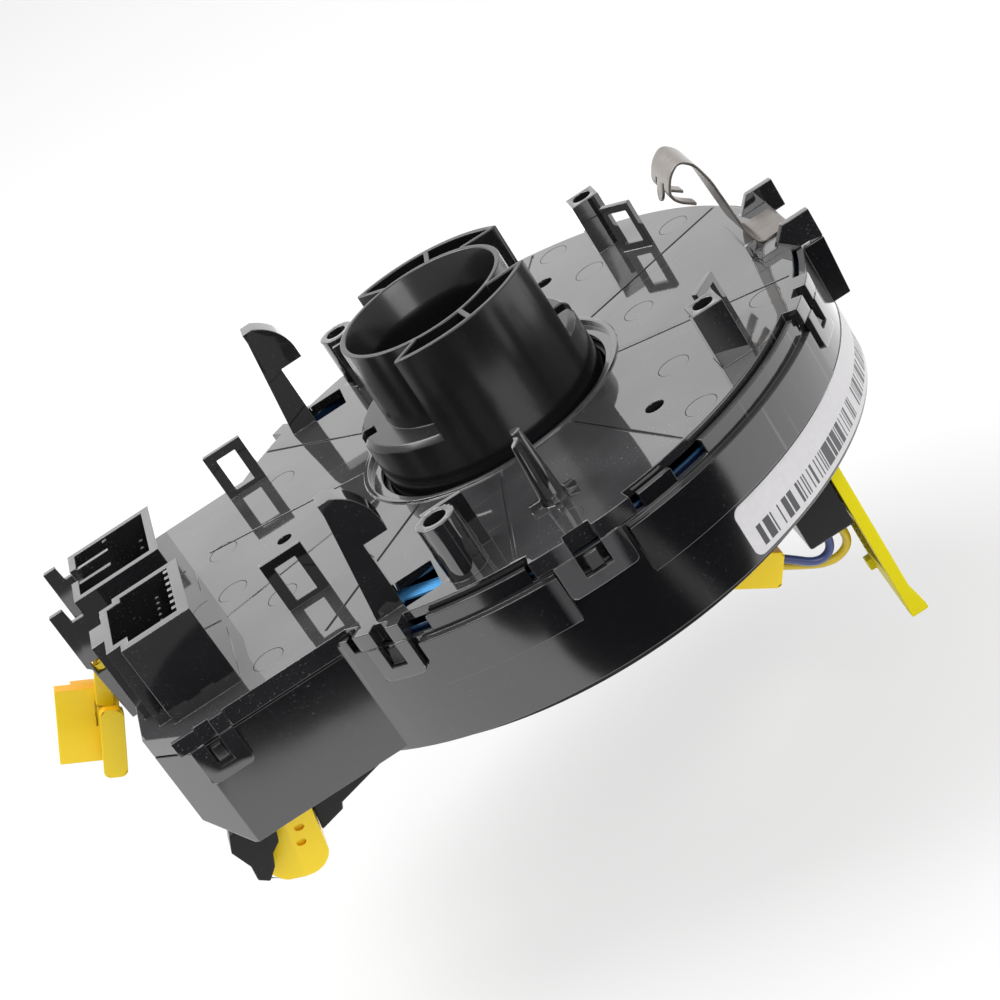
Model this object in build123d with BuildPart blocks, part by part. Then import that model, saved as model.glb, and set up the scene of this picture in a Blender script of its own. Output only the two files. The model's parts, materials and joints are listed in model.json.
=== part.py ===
from build123d import *
import os
from math import atan2, cos, degrees, hypot, pi, radians, sin, tan

# Steering clock spring: a round drum with a side lobe, fixed to the steering
# column, and a rotor through its middle that turns with the steering wheel.
# A flat cable wound inside the drum joins the two electrically.
# The origin is on the steering axis, in the top face of the cover plate.
# +Z points to the column side, -X to the lobe with the plug sockets.

# Driving sizes of the plate and the drum, in millimetres
plate_radius = 56.4
plate_thickness = 1.6
rim_gap = 0.4
case_wall = 1.2
case_radius = plate_radius + rim_gap + case_wall
case_depth = 23.3
case_top = -1.1
floor_thickness = 1.4
floor_hole_radius = 46.0
fit_gap = 0.3
sliver_gap = 0.1

# The side lobe, seen from above
lobe_end_x = -72.8
lobe_front_y = -42.9
lobe_back_y = 35.0
lobe_corner = 6.3
lobe_edge_fillet = 1.2
lobe_rise = 0.8
lobe_depth = case_depth - lobe_rise
lobe_inside_right = -30.0
lobe_wall = 1.6
skirt_depth = 3.35
skirt_gap = 0.3
end_chamfer_height = 5.4
end_chamfer_run = 5.6

# Hub hole in the plate and the hub sleeve
barrel_radius = 20.5
hub_hole_gap = 1.1
hole_radius = barrel_radius + hub_hole_gap
hole_step_width = 1.9
hole_step_radius = hole_radius + hole_step_width
hole_step_depth = 0.8
hole_lip_width = 0.9
hole_lip_height = 0.35
bore_radius = 12.1
throat_z = 16.0
mouth_radius = 14.2
tube_radius = 15.2
sleeve_top = 22.75
barrel_wall = 1.2
barrel_bottom = -9.0
collar_top = 8.2
collar_plate = 1.6
collar_chamfer = 0.9
wing_wall = 1.1
web_wall = 1.0
web_sink = 0.2
wing_start_angle = 31.5
wing_end_angle = 115.0
collar_notch_width = 3.4
collar_notch_depth = 2.6
collar_notch_reach = 2.9
web_angles = ((46.6, 32.2), (105.2, 114.4), (72.4, 74.6))

# Rotor disc on the wheel side
disc_radius = 53.0
disc_thickness = 1.6
disc_top = -case_depth - fit_gap
disc_bottom = disc_top - disc_thickness
rim_rib_wall = 1.4
core_radius = 22.0
core_wall = core_radius - barrel_radius - fit_gap
core_top = -plate_thickness - 0.8
disc_bore_radius = tube_radius + fit_gap
rotor_boss_radius = 18.6
rotor_boss_height = 3.0
rotor_rib_count = 12
rotor_rib_height = 1.4
rotor_rib_width = 1.2
drive_lug_size = (7.0, 3.2, 6.5)
drive_lug_y = 24.5

# Flat cable
cable_top = -2.9
cable_thickness = 0.35
cable_outer_radius = case_radius - case_wall - 0.7
cable_inner_radius = core_radius + 1.2
cable_pitch = 0.9
cable_pack_halves = 2
cable_crossing_radii = (37.0, 31.0)
cable_tail = 17.0
glide_thickness = 0.2

# Screw posts, given by the centre of each hole
post_height = 9.9
round_post_radius = 3.35
round_hole_radius = 1.9
square_post_side = 5.3
square_hole_radius = 1.7
post_hole_depth = 8.5
front_round_post = (-15.5, -48.6)
back_round_post = (-16.0, 46.7)
front_square_post = (36.1, -35.5)
back_square_post = (33.8, 35.6)
post_wall_thickness = 1.1
post_wall_height = 9.4
post_wall_length = 7.2
post_wall_offset = 4.6

# Latch hooks
hook_depth = 4.3
hook_height = 20.9
hook_root_width = 4.9
hook_neck_width = 2.4
hook_nose_reach = 4.3
hook_neck_z = 18.9
hook_nose_z = 11.7
hook_nose_round_z = 14.2
hook_head_radius = 8.2
hook_flat = 2.0
hook_front_y = -47.0
hook_back_y = 40.6

# Loop frames and the peg
loop_thickness = 1.0
loop_height = 9.2
loop_bar = 1.9
loop_sill = 1.0
loop_lintel = 1.6
loop_width = 7.6
straight_loops = ((-43.7, -25.4), (-47.3, 30.8))
slanted_loops = (((35.0, 27.4), (39.3, 22.7)), ((36.2, -29.2), (40.5, -24.5)))
slanted_loop_bar = 1.1
slanted_loop_rail = 1.4
peg_place = (1.1, -44.5)
peg_height = 13.0
peg_base_radius = 2.2
peg_top_radius = 1.25
peg_rib = (8.2, 0.9, 1.2)
peg_cut_tilt = -38.0

# Sockets on the lobe
socket_height = 14.9
socket_wall = 1.5
pin_side = 0.7
pin_top = 6.0
pin_point = 0.2
pin_slot_width = 1.0
front_pin_rows = (-60.2, -62.8)
front_pin_slots = (-34.2, -20.4)
front_pin_start, front_pin_pitch, front_pin_count = -33.4, 2.4, 6
back_pin_rows = (-60.6, -63.4)
back_pin_slots = (-5.6, 6.6)
back_pin_start, back_pin_pitch, back_pin_count = -4.8, 3.5, 4

# Small features of the plate
groove_width = 0.5
groove_depth = 0.3
groove_angles = (-22.9, 22.9, -67.0, 67.0, -99.0, 99.0, -135.0, 133.0, 165.0, 194.0)
pilot_holes = (((-40.6, 1.2), 1.35), ((21.6, -35.9), 1.6), ((20.1, 36.0), 1.6))
front_window = (-26.6, -48.1, -20.1, -38.5)
back_window = (-27.5, 40.0, -21.2, 48.0)

# Snap loops on the plate's edge and the catches under them
snap_proud = 1.3
tab_height = 2.9
tab_inset = 0.2
snap_corner = 1.0
snap_bottom = -9.3
snap_bars = (3.6, 2.4, 2.4, 3.6, 2.4)
snap_sill = 2.3
catch_proud = 0.9
catch_top = -4.2
catch_low = -6.7
catch_width = 2.2
snap_spans = ((-94.7, -83.2), (-126.7, -119.2), (-33.6, -26.0), (83.2, 94.7), (119.2, 126.7))
tab_spans = ((-97.6, -79.7), (-128.0, -118.9), (-35.6, -24.0), (79.7, 97.6), (118.9, 128.0))
band_spans = ((-118.0, -94.9), (-82.3, -35.7), (35.7, 82.3), (94.9, 118.0))
band_proud = 1.4
band_top = -4.2
band_bottom = -12.5
wall_notches = ((-122.0, -115.3), (-98.2, -78.4), (-72.1, -65.7), (-36.0, -22.0),
                (22.0, 36.0), (65.7, 72.1), (78.4, 98.2), (115.3, 122.0))
notch_bottom = -3.6

# Fins and leaf clip at the right end
fin_thickness = 1.4
clip_front_fin_y = -12.0
clip_back_fin_y = 8.0
fin_inner_x = 52.2
fin_shoulder_x = 55.6
fin_outer_x = 60.6
fin_top_z = 3.9
fin_split_z = -1.4
clip_width = 11.0
clip_front_y = -7.1
clip_thickness = 0.45
clip_seat_z = 1.05
clip_seat_x = (50.0, 57.8)
clip_stop_x = (49.2, 51.2)
clip_stop_z = 2.6

# Label on the drum wall
label_span = (-67.7, 2.0)
label_top = -13.6
label_bottom = -22.7
label_thickness = 0.12

# Column plug in its own tilted plane: places along it and up it, then depths
plug_origin = (-85.2, 0, 2.8)
plug_along = (0.866, 0, -0.5)
plug_length = 10.4
plug_heights = (-13.2, -0.4)
plug_front = 7.2
plug_plate_depth = 3.5
plug_body_inset = 3.0
plug_body_height = 8.0
plug_body_depth = 12.0
plug_shelf = (-6.9, -5.0)
plug_shelf_depth = 1.0
plug_shelf_length = 6.6
plug_tab_front = 11.4
plug_tab_depth = 1.7
plug_tab_place = (8.9, -8.4)
plug_tab_size = (4.0, 12.4, 1.2)
plug_link_size = (1.8, 6.0)
plug_arm_place = (8.1, 1.65)
plug_arm_size = (3.0, 9.3, 0.5)
plug_arm_depth = 1.8
plug_nub_place = (7.84, 5.22)
plug_nub_radius = 0.95

# Wheel-side block, key, plugs and leads, with their depths below the disc
block_x = (31.2, 39.4)
block_y = (-30.0, -19.5)
block_bottom = disc_bottom - 14.1
block_ceiling = disc_bottom - 1.2
block_wall = 1.0
key_x = (39.8, 41.9)
key_y = (-30.0, -19.0)
key_slot_gap = 0.2
key_bottom = disc_bottom - 34.8
key_taper_z = key_bottom + 7.0
key_foot_rise = 5.4
key_foot_flare = 1.0
key_foot_depth = 2.4
key_rib_count = 9
key_rib_clear = 3.0
key_pocket = (0.6, 0.9)
lead_diameter = 1.5
lead_sides = 8
arm_y = (-24.0, -14.5)
arm_root_x = -36.0
arm_outline = ((-47.0, 0.0), (-58.6, -1.8), (-60.5, -11.4), (-55.7, -10.2), (-55.2, -9.2),
               (-47.2, -7.2), (arm_root_x, -4.8))
right_plug_tip = (23.0, -26.0, disc_bottom - 17.9)
right_plug_along = (0.83, 0, -0.56)
right_plug_length = 12.0
right_plug_low = 1.6
right_plug_width = 6.3
right_plug_depth = 9.0
right_plug_corner = 0.8
lead_entries = (3.7, 5.5)
lead_entry_depth = 6.8
lead_entry_pocket = (3.0, 4.6)
left_plug_front = 26.2
left_plug_origin = (-60.3, 0, disc_bottom - 7.2)
left_plug_depth = 11.0
left_plug_slope = (-4.6, 2.4)
clamp_front = 27.6
clamp_thickness = 1.3
clamp_wing_depth = 5.0
lock_front = 21.2
lock_depth = 4.6


# A point in front of the right plug's lead face or, with a negative reach, inside it
def entry_point(height, reach, y):
    length = hypot(right_plug_along[0], right_plug_along[2])
    out_x, out_z = right_plug_along[0] / length, right_plug_along[2] / length
    tip_x, tip_z = right_plug_tip[0], right_plug_tip[2]
    return (tip_x - out_z * height + out_x * reach, y, tip_z + out_x * height + out_z * reach)


yellow_low, blue_high = lead_entries
yellow_route = [
    (36.9, -26.8, block_ceiling), (36.9, -26.8, disc_bottom - 7.2),
    (37.2, -26.6, disc_bottom - 13.1), (37.9, -25.6, disc_bottom - 18.8),
    (33.6, -25.2, disc_bottom - 20.7), entry_point(yellow_low - 0.3, 3.0, -25.3),
    entry_point(yellow_low, -2.6, -25.6), entry_point(yellow_low, -lead_entry_depth, -25.6),
]
blue_route = [
    (34.7, -26.8, block_ceiling), (34.7, -26.8, disc_bottom - 7.0),
    (35.0, -26.9, disc_bottom - 12.8), (34.6, -27.1, disc_bottom - 17.2),
    (31.4, -27.1, disc_bottom - 18.2), entry_point(blue_high - 0.3, 2.0, -26.8),
    entry_point(blue_high, -2.8, -26.4), entry_point(blue_high, -lead_entry_depth, -26.4),
]


# A point given by its radius and its angle in degrees
def polar(radius, angle):
    return (radius * cos(radians(angle)), radius * sin(radians(angle)))


# The outline of drum and lobe, drawn in the running sketch
def lobe_outline(margin):
    with Locations(((lobe_end_x - margin) / 2, (lobe_front_y + lobe_back_y) / 2)):
        Rectangle(-lobe_end_x + margin, lobe_back_y - lobe_front_y + 2 * margin)
    ends = vertices().group_by(Axis.X)[0]
    chamfer(ends, length=lobe_corner + margin * (2 - 2 ** 0.5))


# A ring sector between two angles in degrees, drawn in the running sketch
def sector(inner, outer, start, end):
    middle = (start + end) / 2
    with BuildLine() as outline:
        Line(polar(inner, start), polar(outer, start))
        ThreePointArc(polar(outer, start), polar(outer, middle), polar(outer, end))
        Line(polar(outer, end), polar(inner, end))
        ThreePointArc(polar(inner, end), polar(inner, middle), polar(inner, start))
    make_face(outline.edges())


# A box given by its two corners, placed in the running part
def corner_box(low, high, mode=Mode.ADD):
    size = [high[axis] - low[axis] for axis in range(3)]
    centre = tuple((high[axis] + low[axis]) / 2 for axis in range(3))
    with Locations(centre):
        Box(*size, mode=mode)


os.makedirs("parts", exist_ok=True)

# Inner heights shared by the stator pieces
cable_bottom = -case_depth + floor_thickness + glide_thickness
floor_top = -case_depth + floor_thickness
lobe_floor = -lobe_depth + lobe_wall
inner_radius = case_radius - case_wall
snap_outer = case_radius + snap_proud
lobe_loop_x = (-66.7, -59.0)
lobe_loop_bottom = -9.8

# Front socket: outer and inner outline, with the keying lobe on its left
front_socket_outer = [
    (-54.5, -38.0), (-54.5, -17.1), (-66.8, -17.1), (-66.8, -18.7), (-69.3, -18.7),
    (-69.3, -23.5), (-71.5, -23.5), (-71.5, -30.5), (-69.3, -30.5), (-69.3, -35.6),
    (-66.8, -35.6), (-66.8, -38.0),
]
front_socket_inner = [
    (-56.5, -36.0), (-56.5, -18.6), (-65.3, -18.6), (-65.3, -20.2), (-67.9, -20.2),
    (-67.9, -33.9), (-65.3, -33.9), (-65.3, -36.0),
]
back_socket_outer = (-73.2, -9.5, -57.1, 10.3)
back_socket_inner = (-71.9, -7.9, -58.6, 9.0)
back_key_walls = (-2.6, 3.7)
back_key_length = 6.1
back_key_thickness = 1.0
back_wall_drop = 2.2
socket_nub = (0.9, 0.7, 6.0)
comb_tooth = (0.8, 0.9, 3.0)
comb_count = 7
comb_pitch = 2.4

# Bracket at the left end: two fins that carry on from the back socket's walls
bracket_prong_x = -78.1
bracket_prong_width = 2.4
bracket_fin_height = 12.2
bracket_fin_bottom = -7.6
bracket_window = (-77.0, 2.3, -74.7, 4.6)

with BuildPart() as cover_plate:
    with BuildSketch(Plane.XY):
        Circle(plate_radius)
        with BuildSketch(mode=Mode.ADD):
            lobe_outline(0)
    extrude(amount=-plate_thickness)
    # The skirt hangs round the lobe's edge
    with BuildSketch(Plane.XY.offset(-plate_thickness)):
        with BuildSketch(mode=Mode.ADD):
            lobe_outline(0)
        with BuildSketch(mode=Mode.SUBTRACT):
            lobe_outline(-lobe_wall)
        Circle(case_radius, mode=Mode.SUBTRACT)
        with Locations((case_radius, 0)):
            Rectangle(2 * case_radius, 4 * case_radius, mode=Mode.SUBTRACT)
    extrude(amount=plate_thickness - skirt_depth)
    # Raised lip round the hub hole
    with BuildSketch(Plane.XY):
        Circle(hole_step_radius + hole_lip_width)
        Circle(hole_step_radius, mode=Mode.SUBTRACT)
    extrude(amount=hole_lip_height)
    with BuildSketch(Plane.XY):
        Circle(hole_radius)
    extrude(amount=-plate_thickness, mode=Mode.SUBTRACT)
    with BuildSketch(Plane.XY):
        Circle(hole_step_radius)
    extrude(amount=-hole_step_depth, mode=Mode.SUBTRACT)
    # Radial flow lines from the hub to the rim
    groove_start = hole_step_radius + hole_lip_width + 0.2
    groove_length = plate_radius - 0.7 - groove_start
    with BuildSketch(Plane.XY):
        for angle in groove_angles:
            with Locations(Rotation(0, 0, angle)):
                with Locations((groove_start + groove_length / 2, 0)):
                    Rectangle(groove_length, groove_width)
    extrude(amount=-groove_depth, mode=Mode.SUBTRACT)
    # Pilot holes and the two inspection windows
    for place, radius in pilot_holes:
        with Locations(place):
            Hole(radius)
    for low_x, low_y, high_x, high_y in (front_window, back_window):
        corner_box((low_x, low_y, -plate_thickness), (high_x, high_y, 1), Mode.SUBTRACT)
    # Round and square screw posts
    for place in (front_round_post, back_round_post):
        with BuildSketch(Plane.XY):
            with Locations(place):
                Circle(round_post_radius)
        extrude(amount=post_height)
    for place in (front_square_post, back_square_post):
        with BuildSketch(Plane.XY):
            with Locations(place):
                Rectangle(square_post_side, square_post_side)
        extrude(amount=post_height)
    for place, radius in (
        (front_round_post, round_hole_radius), (back_round_post, round_hole_radius),
        (front_square_post, square_hole_radius), (back_square_post, square_hole_radius),
    ):
        with Locations((place[0], place[1], post_height)):
            Hole(radius, depth=post_hole_depth)
    # Thin walls between the round posts and the hub
    for place, side in ((front_round_post, 1), (back_round_post, -1)):
        wall_x = place[0] - round_hole_radius
        wall_y = place[1] + side * post_wall_offset
        corner_box(
            (wall_x, wall_y - post_wall_thickness / 2, 0),
            (wall_x + post_wall_length, wall_y + post_wall_thickness / 2, post_wall_height),
        )
    # Latch hooks: stem beside a window, quarter-round head, flat underside of the nose
    for front_y, window in ((hook_front_y, front_window), (hook_back_y, back_window)):
        stem_right = window[0]
        root_left = stem_right - hook_root_width
        neck_left = stem_right - hook_neck_width
        head_start = neck_left + hook_flat
        nose_x = stem_right + hook_nose_reach
        with BuildSketch(Plane.XZ.offset(-front_y)):
            with BuildLine():
                Polyline(
                    (root_left, 0), (neck_left, hook_neck_z),
                    (neck_left, hook_height), (head_start, hook_height),
                )
                RadiusArc((head_start, hook_height), (nose_x, hook_nose_round_z), hook_head_radius)
                Polyline(
                    (nose_x, hook_nose_round_z), (nose_x, hook_nose_z),
                    (stem_right, hook_nose_z), (stem_right, 0), (root_left, 0),
                )
            make_face()
        extrude(amount=-hook_depth)
    # Straight loop frames
    for left_x, middle_y in straight_loops:
        with BuildSketch(Plane.XZ.offset(-middle_y)):
            with Locations((left_x + loop_width / 2, loop_height / 2)):
                Rectangle(loop_width, loop_height)
            with Locations((left_x + loop_width / 2, (loop_sill + loop_height - loop_lintel) / 2)):
                Rectangle(
                    loop_width - 2 * loop_bar, loop_height - loop_lintel - loop_sill,
                    mode=Mode.SUBTRACT,
                )
        extrude(amount=loop_thickness / 2, both=True)
    # Slanted loop frames beside the square posts
    for start, end in slanted_loops:
        run = Vector(end[0] - start[0], end[1] - start[1], 0)
        slanted = Plane(origin=(start[0], start[1], 0), x_dir=run, z_dir=run.cross(Vector(0, 0, 1)))
        with BuildSketch(slanted):
            with Locations((run.length / 2, loop_height / 2)):
                Rectangle(run.length, loop_height)
                Rectangle(
                    run.length - 2 * slanted_loop_bar, loop_height - 2 * slanted_loop_rail,
                    mode=Mode.SUBTRACT,
                )
        extrude(amount=loop_thickness / 2, both=True)
    # Locating peg with a cross foot
    with BuildSketch(Plane.XY):
        with Locations(peg_place):
            Circle(peg_base_radius)
    with BuildSketch(Plane.XY.offset(peg_height)):
        with Locations(peg_place):
            Circle(peg_top_radius)
    loft()
    with Locations((peg_place[0] - 2.1, peg_place[1], peg_height - 0.2)):
        Box(3.0, 6.0, 4.0, rotation=(0, peg_cut_tilt, 0), mode=Mode.SUBTRACT)
    with Locations((peg_place[0], peg_place[1], peg_rib[2] / 2)):
        Box(*peg_rib)
        Box(peg_rib[1], peg_rib[0], peg_rib[2])
    # Front socket
    with BuildSketch(Plane.XY):
        with BuildLine():
            Polyline(*front_socket_outer, close=True)
        make_face()
        with BuildLine():
            Polyline(*front_socket_inner, close=True)
        make_face(mode=Mode.SUBTRACT)
    extrude(amount=socket_height)
    # Comb teeth on the socket's right inner wall
    tooth_x = front_socket_inner[0][0]
    for index in range(comb_count):
        tooth_y = -34.6 + index * comb_pitch
        corner_box(
            (tooth_x - comb_tooth[0], tooth_y, socket_height - comb_tooth[2]),
            (tooth_x, tooth_y + comb_tooth[1], socket_height),
        )
    # Back socket with its key walls
    low_x, low_y, high_x, high_y = back_socket_outer
    in_low_x, in_low_y, in_high_x, in_high_y = back_socket_inner
    with BuildSketch(Plane.XY):
        with Locations(((low_x + high_x) / 2, (low_y + high_y) / 2)):
            Rectangle(high_x - low_x, high_y - low_y)
        with Locations(((in_low_x + in_high_x) / 2, (in_low_y + in_high_y) / 2)):
            Rectangle(in_high_x - in_low_x, in_high_y - in_low_y, mode=Mode.SUBTRACT)
    extrude(amount=socket_height)
    for key_wall_y in back_key_walls:
        corner_box(
            (in_low_x, key_wall_y, 0),
            (in_low_x + back_key_length, key_wall_y + back_key_thickness, socket_height - 0.4),
        )
    # The left wall is lower between the key walls, and two nubs stand in line with their ends
    corner_box(
        (low_x - 1, back_key_walls[0] + back_key_thickness, socket_height - back_wall_drop),
        (in_low_x, back_key_walls[1], socket_height + 1), Mode.SUBTRACT,
    )
    nub_x = in_low_x + back_key_length - socket_nub[0]
    for nub_y in (in_low_y - 0.1, in_high_y - socket_nub[1]):
        corner_box(
            (nub_x, nub_y, socket_height - 0.4 - socket_nub[2]),
            (nub_x + socket_nub[0], nub_y + socket_nub[1] + 0.1, socket_height - 0.4),
        )
    # Two-finned bracket outside the lobe's end
    for fin_y in (low_y, high_y - 1.1):
        with BuildSketch(Plane.XZ.offset(-fin_y)):
            with BuildLine():
                Polyline(
                    (low_x, 0), (low_x, bracket_fin_height), (-75.5, bracket_fin_height),
                    (-75.7, socket_height), (bracket_prong_x, socket_height),
                    (bracket_prong_x, 4.0), (bracket_prong_x + 0.6, 3.4),
                    (bracket_prong_x + 1.2, bracket_fin_bottom), (-74.4, bracket_fin_bottom),
                    (-74.0, 0), close=True,
                )
            make_face()
            window_x, window_low, window_high_x, window_high = bracket_window
            with Locations(((window_x + window_high_x) / 2, (window_low + window_high) / 2)):
                Rectangle(window_high_x - window_x, window_high - window_low, mode=Mode.SUBTRACT)
        extrude(amount=-1.1)
    # Pin slots in the socket floors
    for rows, (slot_low, slot_high) in (
        (front_pin_rows, front_pin_slots), (back_pin_rows, back_pin_slots),
    ):
        for slot_x in rows:
            corner_box(
                (slot_x - pin_slot_width / 2, slot_low, -plate_thickness),
                (slot_x + pin_slot_width / 2, slot_high, sliver_gap), Mode.SUBTRACT,
            )
    # Snap loops: a tab through the wall's notch, then a loop outside the wall
    tab_bottom = notch_bottom + fit_gap
    with BuildSketch(Plane.XY):
        for start, end in tab_spans:
            sector(plate_radius - 1.0, snap_outer - tab_inset, start + 0.3, end - 0.3)
    extrude(amount=-tab_height)
    with BuildSketch(Plane.XY):
        for start, end in tab_spans:
            sector(inner_radius, case_radius, start + 0.3, end - 0.3)
    extrude(amount=tab_bottom)
    with BuildSketch(Plane.XY.offset(-tab_height)):
        for start, end in snap_spans:
            sector(case_radius - 0.2, snap_outer, start, end)
    extrude(amount=snap_bottom + tab_height)
    snap_corners = cover_plate.edges().filter_by_position(Axis.Z, snap_bottom - 0.1, snap_bottom + 0.1)
    fillet([edge for edge in snap_corners if edge.length < 2], radius=snap_corner)
    with BuildSketch(Plane.XY):
        for (start, end), bar in zip(snap_spans, snap_bars):
            bar_angle = degrees(bar / snap_outer)
            sector(case_radius - 0.9, snap_outer + 1, start + bar_angle, end - bar_angle)
    extrude(amount=snap_bottom + snap_sill, mode=Mode.SUBTRACT)
    # Below the tab the loop stands clear of the wall
    with BuildSketch(Plane.XY.offset(tab_bottom)):
        for start, end in snap_spans:
            sector(case_radius - 2.0, case_radius + sliver_gap, start - 1, end + 1)
    extrude(amount=snap_bottom - tab_bottom - 1, mode=Mode.SUBTRACT)
    # Snap loop on the lobe's front
    corner_box(
        (lobe_loop_x[0] - 1.6, lobe_front_y - 0.8, -tab_height), (lobe_loop_x[1], lobe_front_y, 0),
    )
    corner_box(
        (lobe_loop_x[0], lobe_front_y - 1.0, lobe_loop_bottom),
        (lobe_loop_x[1], lobe_front_y, -tab_height),
    )
    loop_corners = cover_plate.edges().filter_by(Axis.Y).filter_by_position(
        Axis.Z, lobe_loop_bottom - 0.1, lobe_loop_bottom + 0.1,
    )
    fillet(loop_corners, radius=snap_corner)
    corner_box(
        (lobe_loop_x[0] + 2.6, lobe_front_y - 1.5, lobe_loop_bottom + 2.1),
        (lobe_loop_x[1] - 2.6, lobe_front_y, 1), Mode.SUBTRACT,
    )
    # Fins and seat for the leaf clip
    for fin_y in (clip_front_fin_y, clip_back_fin_y):
        with BuildSketch(Plane.XZ.offset(-fin_y)):
            with BuildLine():
                Polyline(
                    (fin_inner_x, 0), (fin_shoulder_x, fin_top_z), (fin_outer_x, fin_top_z),
                    (fin_outer_x, fin_split_z), (case_radius + fit_gap, fin_split_z),
                    (case_radius + fit_gap, case_top + sliver_gap),
                    (fin_inner_x, case_top + sliver_gap),
                    close=True,
                )
            make_face()
        extrude(amount=-fin_thickness)
    corner_box(
        (clip_seat_x[0], clip_front_fin_y, case_top + sliver_gap),
        (clip_seat_x[1], clip_back_fin_y + fin_thickness, clip_seat_z),
    )
    corner_box(
        (clip_stop_x[0], clip_front_fin_y + fin_thickness + 2.2, 0),
        (clip_stop_x[1], clip_front_y - 0.2, clip_stop_z),
    )
cover_plate.part.label = "cover_plate"
export_step(cover_plate.part, "parts/cover_plate.step")

# Drum with the lobe: walls, floor ring, wall bands, catches and the lower fins
with BuildPart() as outer_case:
    with BuildSketch(Plane.XY.offset(-case_depth)):
        Circle(case_radius)
    extrude(amount=case_depth + case_top)
    with BuildSketch(Plane.XY.offset(-lobe_depth)):
        lobe_outline(0)
        with Locations((case_radius, 0)):
            Rectangle(2 * case_radius, 4 * case_radius, mode=Mode.SUBTRACT)
    extrude(amount=lobe_depth - skirt_depth - skirt_gap)
    # The lobe's end slopes in towards its bottom
    with BuildSketch(Plane.XZ):
        with BuildLine():
            Polyline(
                (lobe_end_x - 1, -lobe_depth - 1), (lobe_end_x + end_chamfer_run, -lobe_depth - 1),
                (lobe_end_x + end_chamfer_run, -lobe_depth),
                (lobe_end_x, -lobe_depth + end_chamfer_height),
                (lobe_end_x - 1, -lobe_depth + end_chamfer_height), close=True,
            )
        make_face()
    extrude(amount=case_radius, both=True, mode=Mode.SUBTRACT)
    # Raised bands round the wall, with room for the snap loops between them
    with BuildSketch(Plane.XY.offset(band_bottom)):
        for start, end in band_spans:
            sector(case_radius - 0.5, case_radius + band_proud, start, end)
    extrude(amount=band_top - band_bottom)
    # Inside of the drum and of the lobe
    with BuildSketch(Plane.XY.offset(floor_top)):
        Circle(inner_radius)
    extrude(amount=-floor_top + 1, mode=Mode.SUBTRACT)
    with BuildSketch(Plane.XY.offset(lobe_floor)):
        lobe_outline(-lobe_wall)
        with Locations((case_radius + lobe_inside_right, 0)):
            Rectangle(2 * case_radius, 4 * case_radius, mode=Mode.SUBTRACT)
    extrude(amount=lobe_depth, mode=Mode.SUBTRACT)
    # Sloped wall at the lobe's end, trimmed back to the lobe's outline
    slope_run = lobe_wall * hypot(end_chamfer_run, end_chamfer_height) / end_chamfer_height
    slope_rise = slope_run * end_chamfer_height / end_chamfer_run
    with BuildSketch(Plane.XZ.offset(-lobe_back_y + sliver_gap)):
        with BuildLine():
            Polyline(
                (lobe_end_x, end_chamfer_height - lobe_depth),
                (lobe_end_x + end_chamfer_run, -lobe_depth),
                (lobe_end_x + end_chamfer_run + slope_run, -lobe_depth),
                (lobe_end_x, end_chamfer_height - lobe_depth + slope_rise), close=True,
            )
        make_face()
    extrude(amount=lobe_back_y - lobe_front_y - 2 * sliver_gap)
    with BuildSketch(Plane.XY.offset(-lobe_depth)):
        with Locations((lobe_end_x, (lobe_front_y + lobe_back_y) / 2)):
            Rectangle(2 * lobe_corner, lobe_back_y - lobe_front_y + 1)
        with BuildSketch(mode=Mode.SUBTRACT):
            lobe_outline(0)
    extrude(amount=lobe_depth - skirt_depth - skirt_gap, mode=Mode.SUBTRACT)
    with BuildSketch(Plane.XY.offset(-case_depth)):
        Circle(floor_hole_radius)
    extrude(amount=floor_thickness, mode=Mode.SUBTRACT)
    # The plate's lobe runs on over the wall, so the wall is lower under it
    with BuildSketch(Plane.XY.offset(-plate_thickness - sliver_gap)):
        with BuildSketch(mode=Mode.ADD):
            lobe_outline(fit_gap)
        with Locations((case_radius + lobe_inside_right, 0)):
            Rectangle(2 * case_radius, 4 * case_radius, mode=Mode.SUBTRACT)
    extrude(amount=plate_thickness + 1, mode=Mode.SUBTRACT)
    # Notches in the wall's top edge, for the plate's tabs and for sight of the cable
    with BuildSketch(Plane.XY.offset(notch_bottom)):
        for start, end in wall_notches + ((-130.0, -118.4), (118.4, 130.0)):
            sector(case_radius - 3, case_radius + 3, start, end)
    extrude(amount=-notch_bottom + 1, mode=Mode.SUBTRACT)
    # Sloped catches that the snap loops ride over
    for start, end in snap_spans:
        middle = radians((start + end) / 2)
        radial = Vector(cos(middle), sin(middle), 0)
        catch = Plane(origin=(0, 0, 0), x_dir=radial, z_dir=radial.cross(Vector(0, 0, 1)))
        with BuildSketch(catch):
            with BuildLine():
                Polyline(
                    (case_radius - 0.4, catch_top), (case_radius + 0.2, catch_top),
                    (case_radius + catch_proud, catch_low), (case_radius - 0.4, catch_low), close=True,
                )
            make_face()
        extrude(amount=catch_width / 2, both=True)
    corner_box(
        (lobe_loop_x[0] + 3.0, lobe_front_y - 0.8, catch_low),
        (lobe_loop_x[1] - 3.0, lobe_front_y + 0.2, catch_top),
    )
    # Lower half of the front fin, below the plate's half
    with BuildSketch(Plane.XZ.offset(-clip_front_fin_y)):
        with BuildLine():
            Polyline(
                (inner_radius - 0.6, band_bottom), (fin_outer_x - 0.6, band_bottom),
                (fin_outer_x, fin_split_z - 0.2), (inner_radius - 0.6, fin_split_z - 0.2),
                close=True,
            )
        make_face()
    extrude(amount=-fin_thickness)
    # Notch in the floor ring that the lock key's tip points at
    corner_box(
        (key_x[0] - key_slot_gap, key_y[0], -case_depth),
        (key_x[1] + key_slot_gap, key_y[1], floor_top), Mode.SUBTRACT,
    )
outer_case.part.label = "outer_case"
export_step(outer_case.part, "parts/outer_case.step")

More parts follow.
